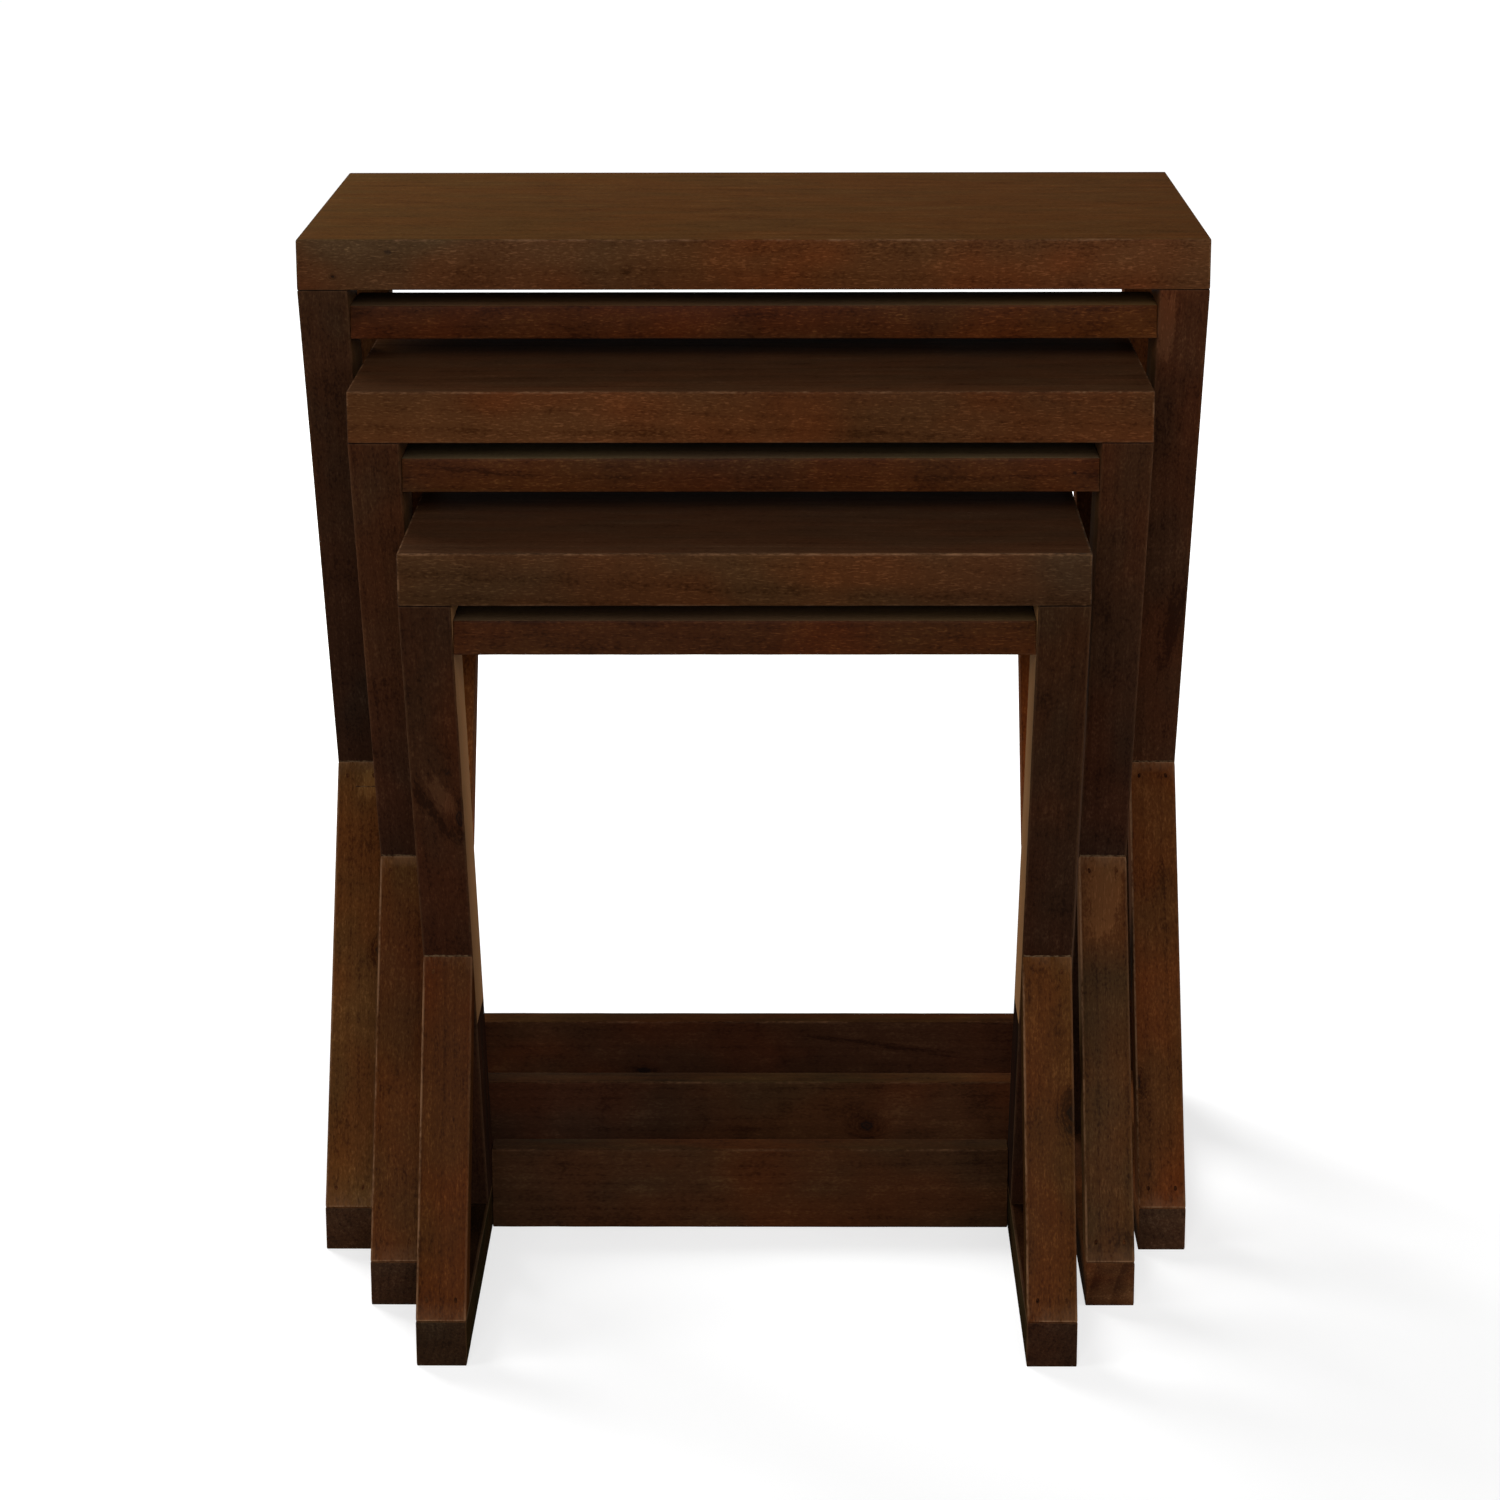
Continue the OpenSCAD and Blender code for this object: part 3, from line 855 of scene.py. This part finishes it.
def plug_places(node_name):
    """The middle of each loose plug in a packed filler node."""
    places = []
    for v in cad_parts[node_name].data.vertices:
        for heap in places:
            if (heap[0] - v.co).length < PLUG_REACH:
                heap.append(v.co.copy())
                break
        else:
            places.append([v.co.copy()])
    return [sum(heap, Vector()) / len(heap) for heap in places]


def seat_matrix(middle, outwards, turn):
    """Stands Z outwards at a place, with the long way of the oval turned a little."""
    side = Vector((math.cos(turn), 0, math.sin(turn)))
    side = (side - outwards * side.dot(outwards)).normalized()
    turned = Matrix((side, outwards.cross(side), outwards)).transposed()
    return Matrix.Translation(middle) @ turned.to_4x4()


def copied(pattern, name, matrix):
    """A copy of a pattern piece with its own mesh, moved to its place for good."""
    piece = pattern.copy()
    piece.data = pattern.data.copy()
    piece.name = name
    bpy.context.scene.collection.objects.link(piece)
    piece.data.transform(matrix)
    return piece


def joined(pieces, name):
    """Joins pieces into one and names it."""
    only(pieces[0])
    for piece in pieces[1:]:
        piece.select_set(True)
    bpy.ops.object.join()
    made = bpy.context.object
    made.name = made.data.name = name
    return made


def oval_peg(name, size, top, bottom):
    """An upright oval peg between two heights, at the origin."""
    bpy.ops.object.select_all(action="DESELECT")
    bpy.ops.mesh.primitive_cylinder_add(vertices=18, radius=1, depth=top - bottom,
                                        location=(0, 0, (top + bottom) / 2))
    piece = bpy.context.object
    piece.name = piece.data.name = name
    piece.scale = (size[0], size[1], 1)
    bpy.ops.object.transform_apply(location=True, rotation=True, scale=True)
    return piece


def cut_seats(piece, seats):
    """Takes a shallow oval seat out of a brace at each nail."""
    pattern = oval_peg("seat_pattern", NAIL_OVAL, SEAT_DEPTH, -SEAT_DEPTH)
    cutter = joined([copied(pattern, "seat", seat_matrix(*seat)) for seat in seats], "seats")
    bpy.data.objects.remove(pattern)
    only(piece)
    bpy.ops.object.modifier_add(type="BOOLEAN")
    change = piece.modifiers[-1]
    change.object, change.operation, change.solver = cutter, "DIFFERENCE", "EXACT"
    bpy.ops.object.modifier_apply(modifier=change.name)
    bpy.data.objects.remove(cutter)


for table in TABLES:
    print(table, len(plug_places(table + "_nail_filler")), "nails")

# %% [markdown]
# ## Filler and glue lines
# Filler is pressed into each seat and shrinks as it dries, so its middle lies a little lower than its
# rim: two insets, the first pushed up and the second down. A glue line is what was pressed out of a
# seam. It starts as a thin strip, is cut across many times, and two Displace modifiers crumble it.

# %% Filler and glue lines
FILL_SUNK, FILL_SHARE = 0.15 * mm, 0.96
FILL_STEPS = ((0.22 * mm, 0.04 * mm), (0.25 * mm, -0.12 * mm))
BEAD_DEEP, BEAD_HIGH, BEAD_LIFT, BEAD_CUTS = 0.5 * mm, 0.9 * mm, 0.15 * mm, 32
TRIM_SMOOTH = math.radians(50)
GLUE_CRUMBLE, CRUMBLE_LEVEL = clouds("glue_crumble", 1.6 * mm), 0.55
CRUMBLE_STEPS = (("Z", 1.1 * mm), ("NORMAL", 0.7 * mm))


def filler_pattern():
    """One filled nail mark: a low oval peg with a rounded rim and a sunk middle."""
    piece = oval_peg("filler_pattern", [r * FILL_SHARE for r in NAIL_OVAL], -FILL_SUNK, -SEAT_DEPTH)
    edit(piece)
    for width, rise in FILL_STEPS:
        pick(piece, "polygons", lambda face: face.normal.z > 0.9 and len(face.vertices) > 4)
        bpy.ops.mesh.inset(thickness=width)
        bpy.ops.transform.translate(value=(0, 0, rise))
    close()
    bpy.ops.object.shade_smooth_by_angle(angle=TRIM_SMOOTH)
    return piece


def glue_bead(name, place, outwards, length, high=BEAD_HIGH):
    """A thin ragged bead of dried glue across a board, half sunk in its seam."""
    bead = stock(name, place + outwards * BEAD_LIFT, (length, BEAD_DEEP, high),
                 math.atan2(-outwards.z, -outwards.y))
    edit(bead)
    pick(bead, "edges", lambda edge: abs(way_of(bead, edge).x) > length / 2)
    bpy.ops.mesh.subdivide(number_cuts=BEAD_CUTS)
    close()
    for direction, strength in CRUMBLE_STEPS:
        displace(bead, GLUE_CRUMBLE, CRUMBLE_LEVEL, strength, direction)
    bpy.ops.object.shade_smooth_by_angle(angle=TRIM_SMOOTH)
    bead.data.materials.append(dry_glue)
    return bead


print("made", GLUE_CRUMBLE.name)

# %% [markdown]
# ## Tints of the planks
# No two planks take stain alike. So each board has a tint at a few shares of its length, from its lower
# or left end on, which multiplies the red, green and blue of its finish. Some tints paint light and shade
# too: the diagonals, whose front faces look down and forward, are darkened, mostly to about half, as
# painted shade. The small table's upper braces are lightened about twofold, as painted light for their
# inner faces seen edge on. The large top is lightened a little, as painted light besides what the lamp
# behind gives. The tops' front edges have tints of their own, and their upper arris, which hands and
# cloths rub, has a tint more.

# %% Tints
TINTS = {
    # Painted light in part: the large top is lightened beyond its plank's tone, besides the lamp behind.
    "large_top": ((0, 1.25, 1.35, 1.15), (0.3, 1.20, 1.22, 1.05), (1, 1.18, 1.13, 0.97)),
    "small_top": ((0, 0.86, 0.87, 0.93),),
    "large_top_edge": ((0, 0.83, 0.92, 1.08), (0.25, 0.90, 1.04, 1.22), (0.42, 1.04, 0.87, 0.78),
                       (0.6, 1.18, 0.99, 0.88), (1, 1.13, 1.09, 1.16)),
    "middle_top_edge": ((0, 1.17, 1.10, 1.07), (0.35, 1.35, 1.24, 1.20), (0.6, 1.01, 0.96, 0.92),
                        (1, 1.04, 1.03, 1.07)),
    "small_top_edge": ((0, 0.58, 0.65, 0.72), (0.25, 0.53, 0.65, 0.76), (0.6, 0.71, 0.74, 0.73),
                       (1, 0.47, 0.65, 0.90)),
    "large_upper_rail": ((0, 0.74, 0.74, 0.72), (0.25, 1.0, 0.83, 0.70), (0.6, 0.84, 0.85, 0.83),
                         (1, 1.33, 1.20, 0.85)),
    "middle_upper_rail": ((0, 0.82, 0.96, 0.95), (0.25, 0.93, 1.10, 1.03), (0.45, 0.78, 0.80, 0.83),
                          (0.75, 0.95, 1.10, 1.03), (1, 0.98, 1.03, 1.0)),
    "small_upper_rail": ((0, 0.86, 0.88, 0.84), (0.4, 0.78, 0.74, 0.72), (1, 0.86, 0.86, 0.70)),
    "large_rear_stretcher": ((0.18, 0.98, 1.20, 1.60), (0.3, 0.60, 0.73, 1.05),
                             (0.67, 0.66, 0.76, 1.05), (0.8, 0.88, 0.98, 1.35)),
    "middle_rear_stretcher": ((0.18, 0.90, 1.20, 1.90), (0.35, 0.65, 0.88, 1.30),
                              (0.55, 0.83, 1.25, 1.60), (0.68, 0.80, 1.10, 1.45),
                              (0.85, 1.45, 1.65, 2.0)),
    "small_rear_stretcher": ((0.1, 0.76, 1.22, 1.80), (0.5, 1.0, 1.20, 1.33), (0.9, 0.84, 1.16, 1.50)),
    # Painted shade: the diagonals are darkened, mostly to about half, as their front faces look down and
    # forward.
    "large_left_diagonal": ((0.45, 0.40, 0.50, 0.83), (0.55, 0.36, 0.49, 0.85),
                            (0.75, 0.50, 0.62, 0.93), (1, 0.50, 0.63, 0.90)),
    "large_right_diagonal": ((0.45, 0.67, 0.78, 1.15), (0.7, 0.70, 0.73, 1.0), (0.9, 0.72, 0.70, 0.93),
                             (1, 0.82, 0.68, 0.80)),
    "middle_left_diagonal": ((0.45, 0.38, 0.48, 0.83), (0.6, 0.60, 0.67, 1.0), (0.75, 0.68, 0.76, 1.0),
                             (1, 0.58, 0.63, 0.82)),
    "middle_right_diagonal": ((0.45, 0.47, 0.56, 0.97), (0.75, 0.60, 0.64, 0.90),
                              (1, 0.68, 0.69, 0.88)),
    "small_left_diagonal": ((0.45, 0.39, 0.43, 0.66), (0.6, 0.50, 0.51, 0.71),
                            (0.75, 0.52, 0.52, 0.66), (1, 0.40, 0.42, 0.58)),
    "small_right_diagonal": ((0.45, 0.37, 0.41, 0.65), (0.65, 0.41, 0.45, 0.66),
                             (1, 0.46, 0.55, 0.72)),
    "large_left_lower_brace": ((0, 1.25, 1.50, 1.30), (0.5, 1.28, 1.28, 1.05), (1, 1.15, 1.32, 1.15)),
    "large_right_lower_brace": ((0, 1.22, 1.06, 0.86), (1, 1.08, 1.0, 0.87)),
    "middle_left_lower_brace": ((0, 0.95, 0.92, 0.80), (0.5, 1.0, 0.92, 0.76),
                                (0.75, 0.80, 0.80, 0.82), (1, 0.92, 1.05, 0.92)),
    "middle_right_lower_brace": ((0, 0.80, 0.97, 1.05), (0.45, 0.90, 1.12, 1.20),
                                 (0.7, 0.63, 1.04, 1.38), (0.8, 0.92, 1.06, 1.15),
                                 (0.86, 0.76, 0.87, 0.98), (1, 0.77, 0.86, 0.94)),
    "small_left_lower_brace": ((0, 0.87, 0.80, 0.60), (0.7, 0.87, 0.70, 0.56), (1, 0.70, 0.62, 0.56)),
    "small_right_lower_brace": ((0, 1.08, 0.98, 0.72), (0.3, 0.86, 0.84, 0.70),
                                (0.7, 0.90, 0.90, 0.75), (1, 1.0, 1.08, 0.87)),
    # Painted light: the small upper braces are lightened for the light on their inner faces, seen edge on.
    "small_left_upper_brace": ((0, 2.10, 1.65, 1.28),),
    "small_right_upper_brace": ((0, 2.0, 1.60, 1.25),),
    "large_left_foot_bar": ((0, 1.18, 1.13, 1.06),),
    "large_right_foot_bar": ((0, 1.40, 1.40, 1.40),),
    "middle_left_foot_bar": ((0, 1.05, 1.05, 1.05),),
    "small_left_foot_bar": ((0, 0.70, 0.78, 0.78),),
    "small_right_foot_bar": ((0, 0.90, 0.82, 0.82),),
}
RUBBED = {"large_top": (1.08, 1.30, 1.38), "middle_top": (0.82, 0.88, 0.90),
          "small_top": (1.40, 1.45, 1.50)}
PLAIN = ((0, 1, 1, 1),)
print("tinted boards", len(TINTS))

# %% [markdown]
# ## Painted shade on single faces
# Between the frames and under the tables, some long faces lie in shade, and that shade is painted into
# them. So some boards have a tint more on one of their long faces, mostly darker. Each row gives the axis
# and the share where that face lies, and then its stops along the board. The small table's foot bars get
# painted shade on top from end to end, but not at the ends themselves.

# %% Tints of single faces
DEPTH, SIDE = 0, 1
# Painted shade on the top of the small foot bars, between their ends.
FOOT_TOP_SHADE = (0.04, 1, 1, 1), (0.06, 0.28, 0.30, 0.36), (0.94, 0.28, 0.30, 0.36), (0.96, 1, 1, 1)
PAINTED_SHADE_TINTS = {
    "large_rear_stretcher": ((SIDE, 1, (0, 0.90, 0.92, 0.62)),),
    "middle_rear_stretcher": ((SIDE, 1, (0, 0.73, 0.84, 0.68)),),
    "small_rear_stretcher": ((SIDE, 1, (0, 0.76, 0.77, 0.68)),),
    "small_left_foot_bar": ((SIDE, 1, (0, 0.45, 0.72, 0.90)), (DEPTH, 1, *FOOT_TOP_SHADE)),
    "small_right_foot_bar": ((SIDE, 0, (0, 0.36, 0.68, 0.90)), (DEPTH, 1, *FOOT_TOP_SHADE)),
    "middle_right_foot_bar": ((DEPTH, 1, (0.45, 1, 1, 1), (0.58, 0.46, 0.54, 0.74),
                               (0.66, 0.33, 0.37, 0.58), (0.95, 0.6, 0.6, 0.7)),),
    "small_left_diagonal": ((SIDE, 1, (0.33, 0.95, 1.10, 1.30), (0.38, 1.03, 1.0, 0.87)),),
    "small_right_diagonal": ((SIDE, 0, (0.33, 0.50, 0.65, 0.85), (0.38, 0.85, 1.03, 1.0)),),
    "large_right_lower_brace": ((SIDE, 0, (0, 0.55, 0.52, 0.62)),),
    "small_left_lower_brace": ((SIDE, 1, (0, 0.85, 0.95, 1.10)),),
    "small_right_lower_brace": ((SIDE, 0, (0, 0.50, 0.60, 0.75)),),
}
print("boards with a tinted face", len(PAINTED_SHADE_TINTS))

# %% [markdown]
# ## Knots, eyes, flames and shadows
# A few boards have marks that anyone would point to, and they are what makes a plank this plank. Each is
# given by its share of the length and of the height, its half length and half width in millimetres, and
# its slant in degrees. A maker who uses another plank changes these rows and nothing else.

# %% Marks of single boards
CHARACTER = {
    "large_top": {"knot": (0.04, 0.27, 1.1, 0.8, 0), "eye": (0.101, 0.75, 3.0, 2.0, 0),
                  "shadow": (0.361, 0.34, 2.2, 1.2, 0)},
    "middle_upper_rail": {"shadow": (0.12, 0.62, 30, 2.2, -4), "eye": (0.964, 0.56, 1.6, 1.4, 0)},
    "large_rear_stretcher": {"knot": (0.335, 0.32, 5.5, 2.8, 0), "shadow": (0.69, 0.66, 62, 2.8, -8)},
    "middle_rear_stretcher": {"knot": (0.683, 0.42, 5.5, 4.2, 0)},
    "large_right_diagonal": {"flame": (0.96, 0.16, 26, 6, 0), "shadow": (0.61, 0.68, 34, 6, 6)},
    "small_left_diagonal": {"knot": (0.687, 0.91, 8.0, 2.6, 0), "eye": (0.757, 0.727, 3.6, 2.8, 0),
                            "flame": (0.71, 0.70, 27, 5.5, -28), "shadow": (0.70, 0.36, 28, 4, -28)},
    "small_right_lower_brace": {"knot": (0.565, 0.95, 6.5, 3.8, 0), "eye": (0.52, 0.90, 4.0, 3.2, 0),
                                "shadow": (0.62, 0.93, 4.5, 3.0, 0)},
    "large_right_lower_brace": {"knot": (0.276, 0.02, 5.0, 3.0, 0)},
    "large_left_lower_brace": {"knot": (0.57, 1.0, 4.0, 3.0, 0), "flame": (0.95, 0.75, 11, 9, 30)},
    "middle_right_lower_brace": {"flame": (0.91, 0.5, 30, 13, 0)},
}
print("marks", sum(len(marks) for marks in CHARACTER.values()))

# %% [markdown]
# ## Wear and tint of a place
# Two small rules turn those tables into what one place on a board looks like. Hands and cloths wear a
# top's upper arris and the left arrises and the ends of the lower braces, and hardly touch the rest. A
# top's tint changes at its rim, where the sanded edge begins.

# %% Wear and tint of a place
UPPER_END, LOWER_END = 0.97, 0.02
ON_FACE, RIM_SHARE = 0.01, 0.8


def arris_wear(node_name, along, depth, height):
    """How worn an arris is at this share of the board's length, depth and height."""
    if node_name.endswith("_top"):
        return 1.0 if height > 0.5 else 0.4
    if node_name.endswith("lower_brace"):
        if along > UPPER_END:
            return 0.4 if node_name.startswith("small") else 0.9
        return 1.0 if along < LOWER_END or height < 0.5 else 0.25
    return 0.35 if node_name.endswith("stretcher") and height > 0.5 else 0.12


def tone_of(node_name):
    """A function that gives the tint at a share of this board's length, depth and height."""
    stops = TINTS.get(node_name, PLAIN)
    if not node_name.endswith("_top"):
        def plain_tone(along, depth, height):
            own = tint(stops, along)
            # Painted shade: some long faces take a tint more, mostly darker, for the shade they lie in.
            for axis, share, *shade_stops in PAINTED_SHADE_TINTS.get(node_name, ()):
                if abs((depth, height)[axis] - share) < ON_FACE:
                    own = own * tint(shade_stops, along)
            return own
        return plain_tone
    low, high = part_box(node_name)
    rim = RIM_SHARE * (ARRIS_RADIUS + ARRIS_FRAME) / (high.y - low.y)
    edge, rubbed = TINTS[node_name + "_edge"], Vector(RUBBED[node_name])

    def tone_at(along, depth, height):
        if rim < depth < 1 - rim:
            return tint(stops, along)
        return tint(edge, along) * Vector((1, 1, 1)).lerp(rubbed, height)
    return tone_at


print("wear of a top's upper arris", arris_wear("large_top", 0.5, 0.0, 1.0))

# %% [markdown]
# ## One board, from stock to finish
# Every board goes the same way through the workshop: eased, worn, cut for its nails, given its place in
# the log, its marks and its tint, and finished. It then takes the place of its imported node, and rides on
# the body of its table, so that it moves when the table slides.


def build_board(node_name, piece, along, across, names, body, seats=(), second=None):
    """Eases, wears, seats, marks and finishes one board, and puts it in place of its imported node."""
    along, across = Vector(along), Vector(across)
    planes = face_planes(piece)
    ease(piece, along.normalized())
    nibble(piece, [near_arris(v.co, planes) for v in piece.data.vertices])
    if seats:
        cut_seats(piece, seats)
    shares = sawn_from_log(piece, along, across, tone_of(node_name), CHARACTER.get(node_name, {}))
    weights = [near_arris(v.co, planes) * arris_wear(node_name, *share)
               for v, share in zip(piece.data.vertices, shares)]
    board_finish(piece, along.normalized(), names, weights, second)
    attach(piece, body)
    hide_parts(node_name)
    print(node_name, len(piece.data.polygons), "faces")


def straight_board(node_name, along, across, names, body, second=None):
    """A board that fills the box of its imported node."""
    low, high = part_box(node_name)
    piece = stock(node_name + "_board", (low + high) / 2, high - low)
    build_board(node_name, piece, along, across, names, body, second=second)


# %% [markdown]
# ## The level boards
# Top, upper rail and rear stretcher lie square to the table, so each simply fills its packed box. The
# top is the plank that the hand meets first. The rail ties the side frames together under it, and the
# stretcher does so at the floor.

# %% Level boards
ACROSS_TABLE, TO_THE_BACK, UPWARDS = (1, 0, 0), (0, 1, 0), (0, 0, 1)


def level_boards(table, body):
    """Builds the top, the upper rail and the rear stretcher of one table."""
    # The nested tops take the finish with painted shade.
    top_finish = "top_wood" if table == "large" else "nested_top"
    for part, names, second in (
            ("_top", (top_finish, "end_grain", "top_edge"), front_and_back),
            # The top of a rail takes the finish with its painted reflection.
            ("_upper_rail", ("rail_wood", "end_grain", "rail_top"), upper),
            ("_rear_stretcher", ("stretcher_wood", "end_grain"), None)):
        straight_board(table + part, ACROSS_TABLE, TO_THE_BACK, names, body, second)


# %% [markdown]
# ## The diagonal of a side frame
# The diagonal runs from the front of the top down to the back of the foot bar. Its corners touch its box
# and its width is known, so its lean follows from these, as it would from a full-size drawing on the
# bench. A straight piece of stock is laid at that lean, and is sawn level at both ends.

# %% Diagonal
DIAGONAL_WIDTH, SPARE = 48 * mm, 60 * mm
PAINTED_SHEEN_FROM = 0.7


def build_diagonal(table, side, body, inwards):
    """Builds one diagonal, and returns its box and the way its front face looks."""
    name = f"{table}_{side}_diagonal"
    low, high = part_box(name)
    middle, span = (low + high) / 2, high - low
    reach = math.hypot(span.y, span.z)
    lean = math.acos(DIAGONAL_WIDTH / reach) - math.atan2(span.z, span.y)
    piece = stock(name + "_board", middle, (span.x, DIAGONAL_WIDTH, reach + SPARE), lean)
    saw(piece, (0, 0, high.z), (0, 0, 1))
    saw(piece, (0, 0, low.z), (0, 0, -1))
    along = Vector((0, -math.sin(lean), math.cos(lean)))
    facing = Vector((0, -math.cos(lean), -math.sin(lean)))
    # On the small table, the upper inner faces take the finish with painted light, and the lower ones the
    # matt one.
    second = inner_side(inwards, middle.z * PAINTED_SHEEN_FROM) if table == "small" else None
    build_board(name, piece, along, facing, ("frame_wood", "end_grain", "frame_side", "inner_wood"),
                body, second=second)
    return low, high, facing


print("a diagonal is", DIAGONAL_WIDTH, "wide")

# %% [markdown]
# ## The braces of a side frame
# Two braces make the X with the diagonal. The lower one leans back from the front of the foot bar and
# ends on the diagonal's front face. The upper one is such a board turned over about the middle of the
# frame, with a lean of its own, so it is made in the lower place first and then turned. The plane of the
# diagonal's face trims both, and a bead of dry glue lies in the valley where they meet. One brace was
# pieced with a scarf, and shows a second, shorter line of glue a little way down its face.

# %% Brace
LOWER_LEAN, UPPER_LEAN = {"large": 30.0, "middle": 29.6, "small": 28.6}, 31.0
BRACE_WIDTH, BRACE_SHARE = 22 * mm, 0.6
MARK_TURN = 0.35
SEAM_INSET = 1.6 * mm
SCARF_BELOW, SCARF_ASIDE, SCARF_LONG, SCARF_HIGH = 16 * mm, 0.18, 0.55, 0.5 * mm


def turned_over(point, middle):
    """Where a point goes when a side frame turns by half a turn, round X, about its middle."""
    return Vector((point.x, 2 * middle.y - point.y, 2 * middle.z - point.z))


def build_brace(table, side, place, body, frame_side, plugs, second):
    """Builds one brace, and returns its nail seats and its beads of glue."""
    low, high, facing = frame_side
    middle, span = (low + high) / 2, high - low
    name = f"{table}_{side}_{place}_brace"
    angle = math.radians(LOWER_LEAN[table] if place == "lower" else UPPER_LEAN)
    along = Vector((0, math.sin(angle), math.cos(angle)))
    face = Vector((0, -math.cos(angle), math.sin(angle)))
    foot, front_edge = Vector((middle.x, low.y, low.z)), Vector((0, low.y, high.z))
    length = BRACE_SHARE * math.hypot(span.y, span.z)
    centre = foot - face * BRACE_WIDTH / 2 + along * length / 2
    piece = stock(name + "_board", centre, (span.x, BRACE_WIDTH, length + SPARE), -angle)
    saw(piece, foot, (0, 0, -1))
    saw(piece, front_edge, -facing)
    seam = foot + along * ((front_edge - foot).dot(facing) / along.dot(facing))
    valley = (face + facing).normalized()
    if place == "upper":
        edit(piece)
        bpy.ops.transform.rotate(value=math.pi, orient_axis="X", center_override=middle)
        close()
        along, face, valley = -along, -face, -valley
        foot, seam = turned_over(foot, middle), turned_over(seam, middle)
    chance = random.Random(name)
    own = [p for p in plugs
           if (p.x > 0) == (side == "right") and (p.y < middle.y) == (place == "lower")]
    seats = [(p + face * (foot - p).dot(face), face, chance.uniform(-MARK_TURN, MARK_TURN))
             for p in own]
    build_board(name, piece, along, face, ("frame_wood", "end_grain", "inner_wood"), body, seats, second)
    beads = [glue_bead(name + "_seam", seam, valley, span.x - SEAM_INSET)]
    if name == "large_left_lower_brace":
        scarf = seam - along * SCARF_BELOW + Vector((span.x * SCARF_ASIDE, 0, 0))
        beads.append(glue_bead("scarf_line", scarf, face, span.x * SCARF_LONG, SCARF_HIGH))
    return seats, beads


print("leans of the lower braces", LOWER_LEAN)

# %% [markdown]
# ## One side frame
# Foot bar, diagonal and braces make one side frame. Most nail holes were filled with a paste that
# matches the wood. Some were filled with a dark one: all of those in the large table's right frame, the
# inner ones in the middle table's right frame, and the low inner ones of the small table.

# %% Side frame
LOW_SHARE = 0.3


def paste_for(table, side, nail, low, high):
    """Dark or matched filler for a nail, by where it is in its side frame."""
    inner = abs(nail.x) < abs(((low + high) / 2).x)
    low_down = nail.z <= low.z + LOW_SHARE * (high.z - low.z)
    dark = {"large": side == "right", "middle": side == "right" and inner, "small": inner and low_down}
    return filler_paste if dark[table] else matched_paste


def build_side_frame(table, side, body, plugs):
    """Builds the four boards of a side frame, and returns its filled seats and its beads of glue."""
    inwards = 1 if side == "left" else -1
    ends = "red_end" if (table, side) == ("middle", "right") else "end_grain"
    hidden = hidden_side(inwards) if table == "small" else None
    straight_board(f"{table}_{side}_foot_bar", TO_THE_BACK, UPWARDS, ("frame_wood", ends, "inner_wood"),
                   body, hidden)
    low, high, facing = build_diagonal(table, side, body, inwards)
    fills, beads = [], []
    for place, second in (("lower", hidden), ("upper", None)):
        seats, glue = build_brace(table, side, place, body, (low, high, facing), plugs, second)
        fills += [(seat, paste_for(table, side, seat[0], low, high)) for seat in seats]
        beads += glue
    return fills, beads


print("dark filler lies at most", LOW_SHARE, "up on the small table")

# %% [markdown]
# ## Build the three tables
# All three tables are built alike, from the large one to the small one. The filled marks of a table are
# one piece, which stands for its packed filler, and its glue lines are another, which stands for no
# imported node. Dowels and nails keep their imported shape, because nothing of them shows, and get a finish.

# %% Build the three tables
for table in TABLES:
    body = table + "_table"
    level_boards(table, body)
    plugs = plug_places(table + "_nail_filler")
    fills, beads = [], []
    for side in ("left", "right"):
        more_fills, more_beads = build_side_frame(table, side, body, plugs)
        fills += more_fills
        beads += more_beads
    pattern = filler_pattern()
    marks = []
    for seat, paste in fills:
        marks.append(copied(pattern, "mark", seat_matrix(*seat)))
        marks[-1].data.materials.append(paste)
    marks = joined(marks, table + "_nail_marks")
    bpy.data.objects.remove(pattern)
    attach(marks, body)
    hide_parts(table + "_nail_filler")
    glue = joined(beads, table + "_glue_lines")
    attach(glue, body)
    for node_name, finish in ((table + "_dowels", beech), (table + "_nails", wire_steel)):
        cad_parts[node_name].material_slots[0].material = finish
    print(table, len(fills), "nail marks and", len(beads), "glue lines")
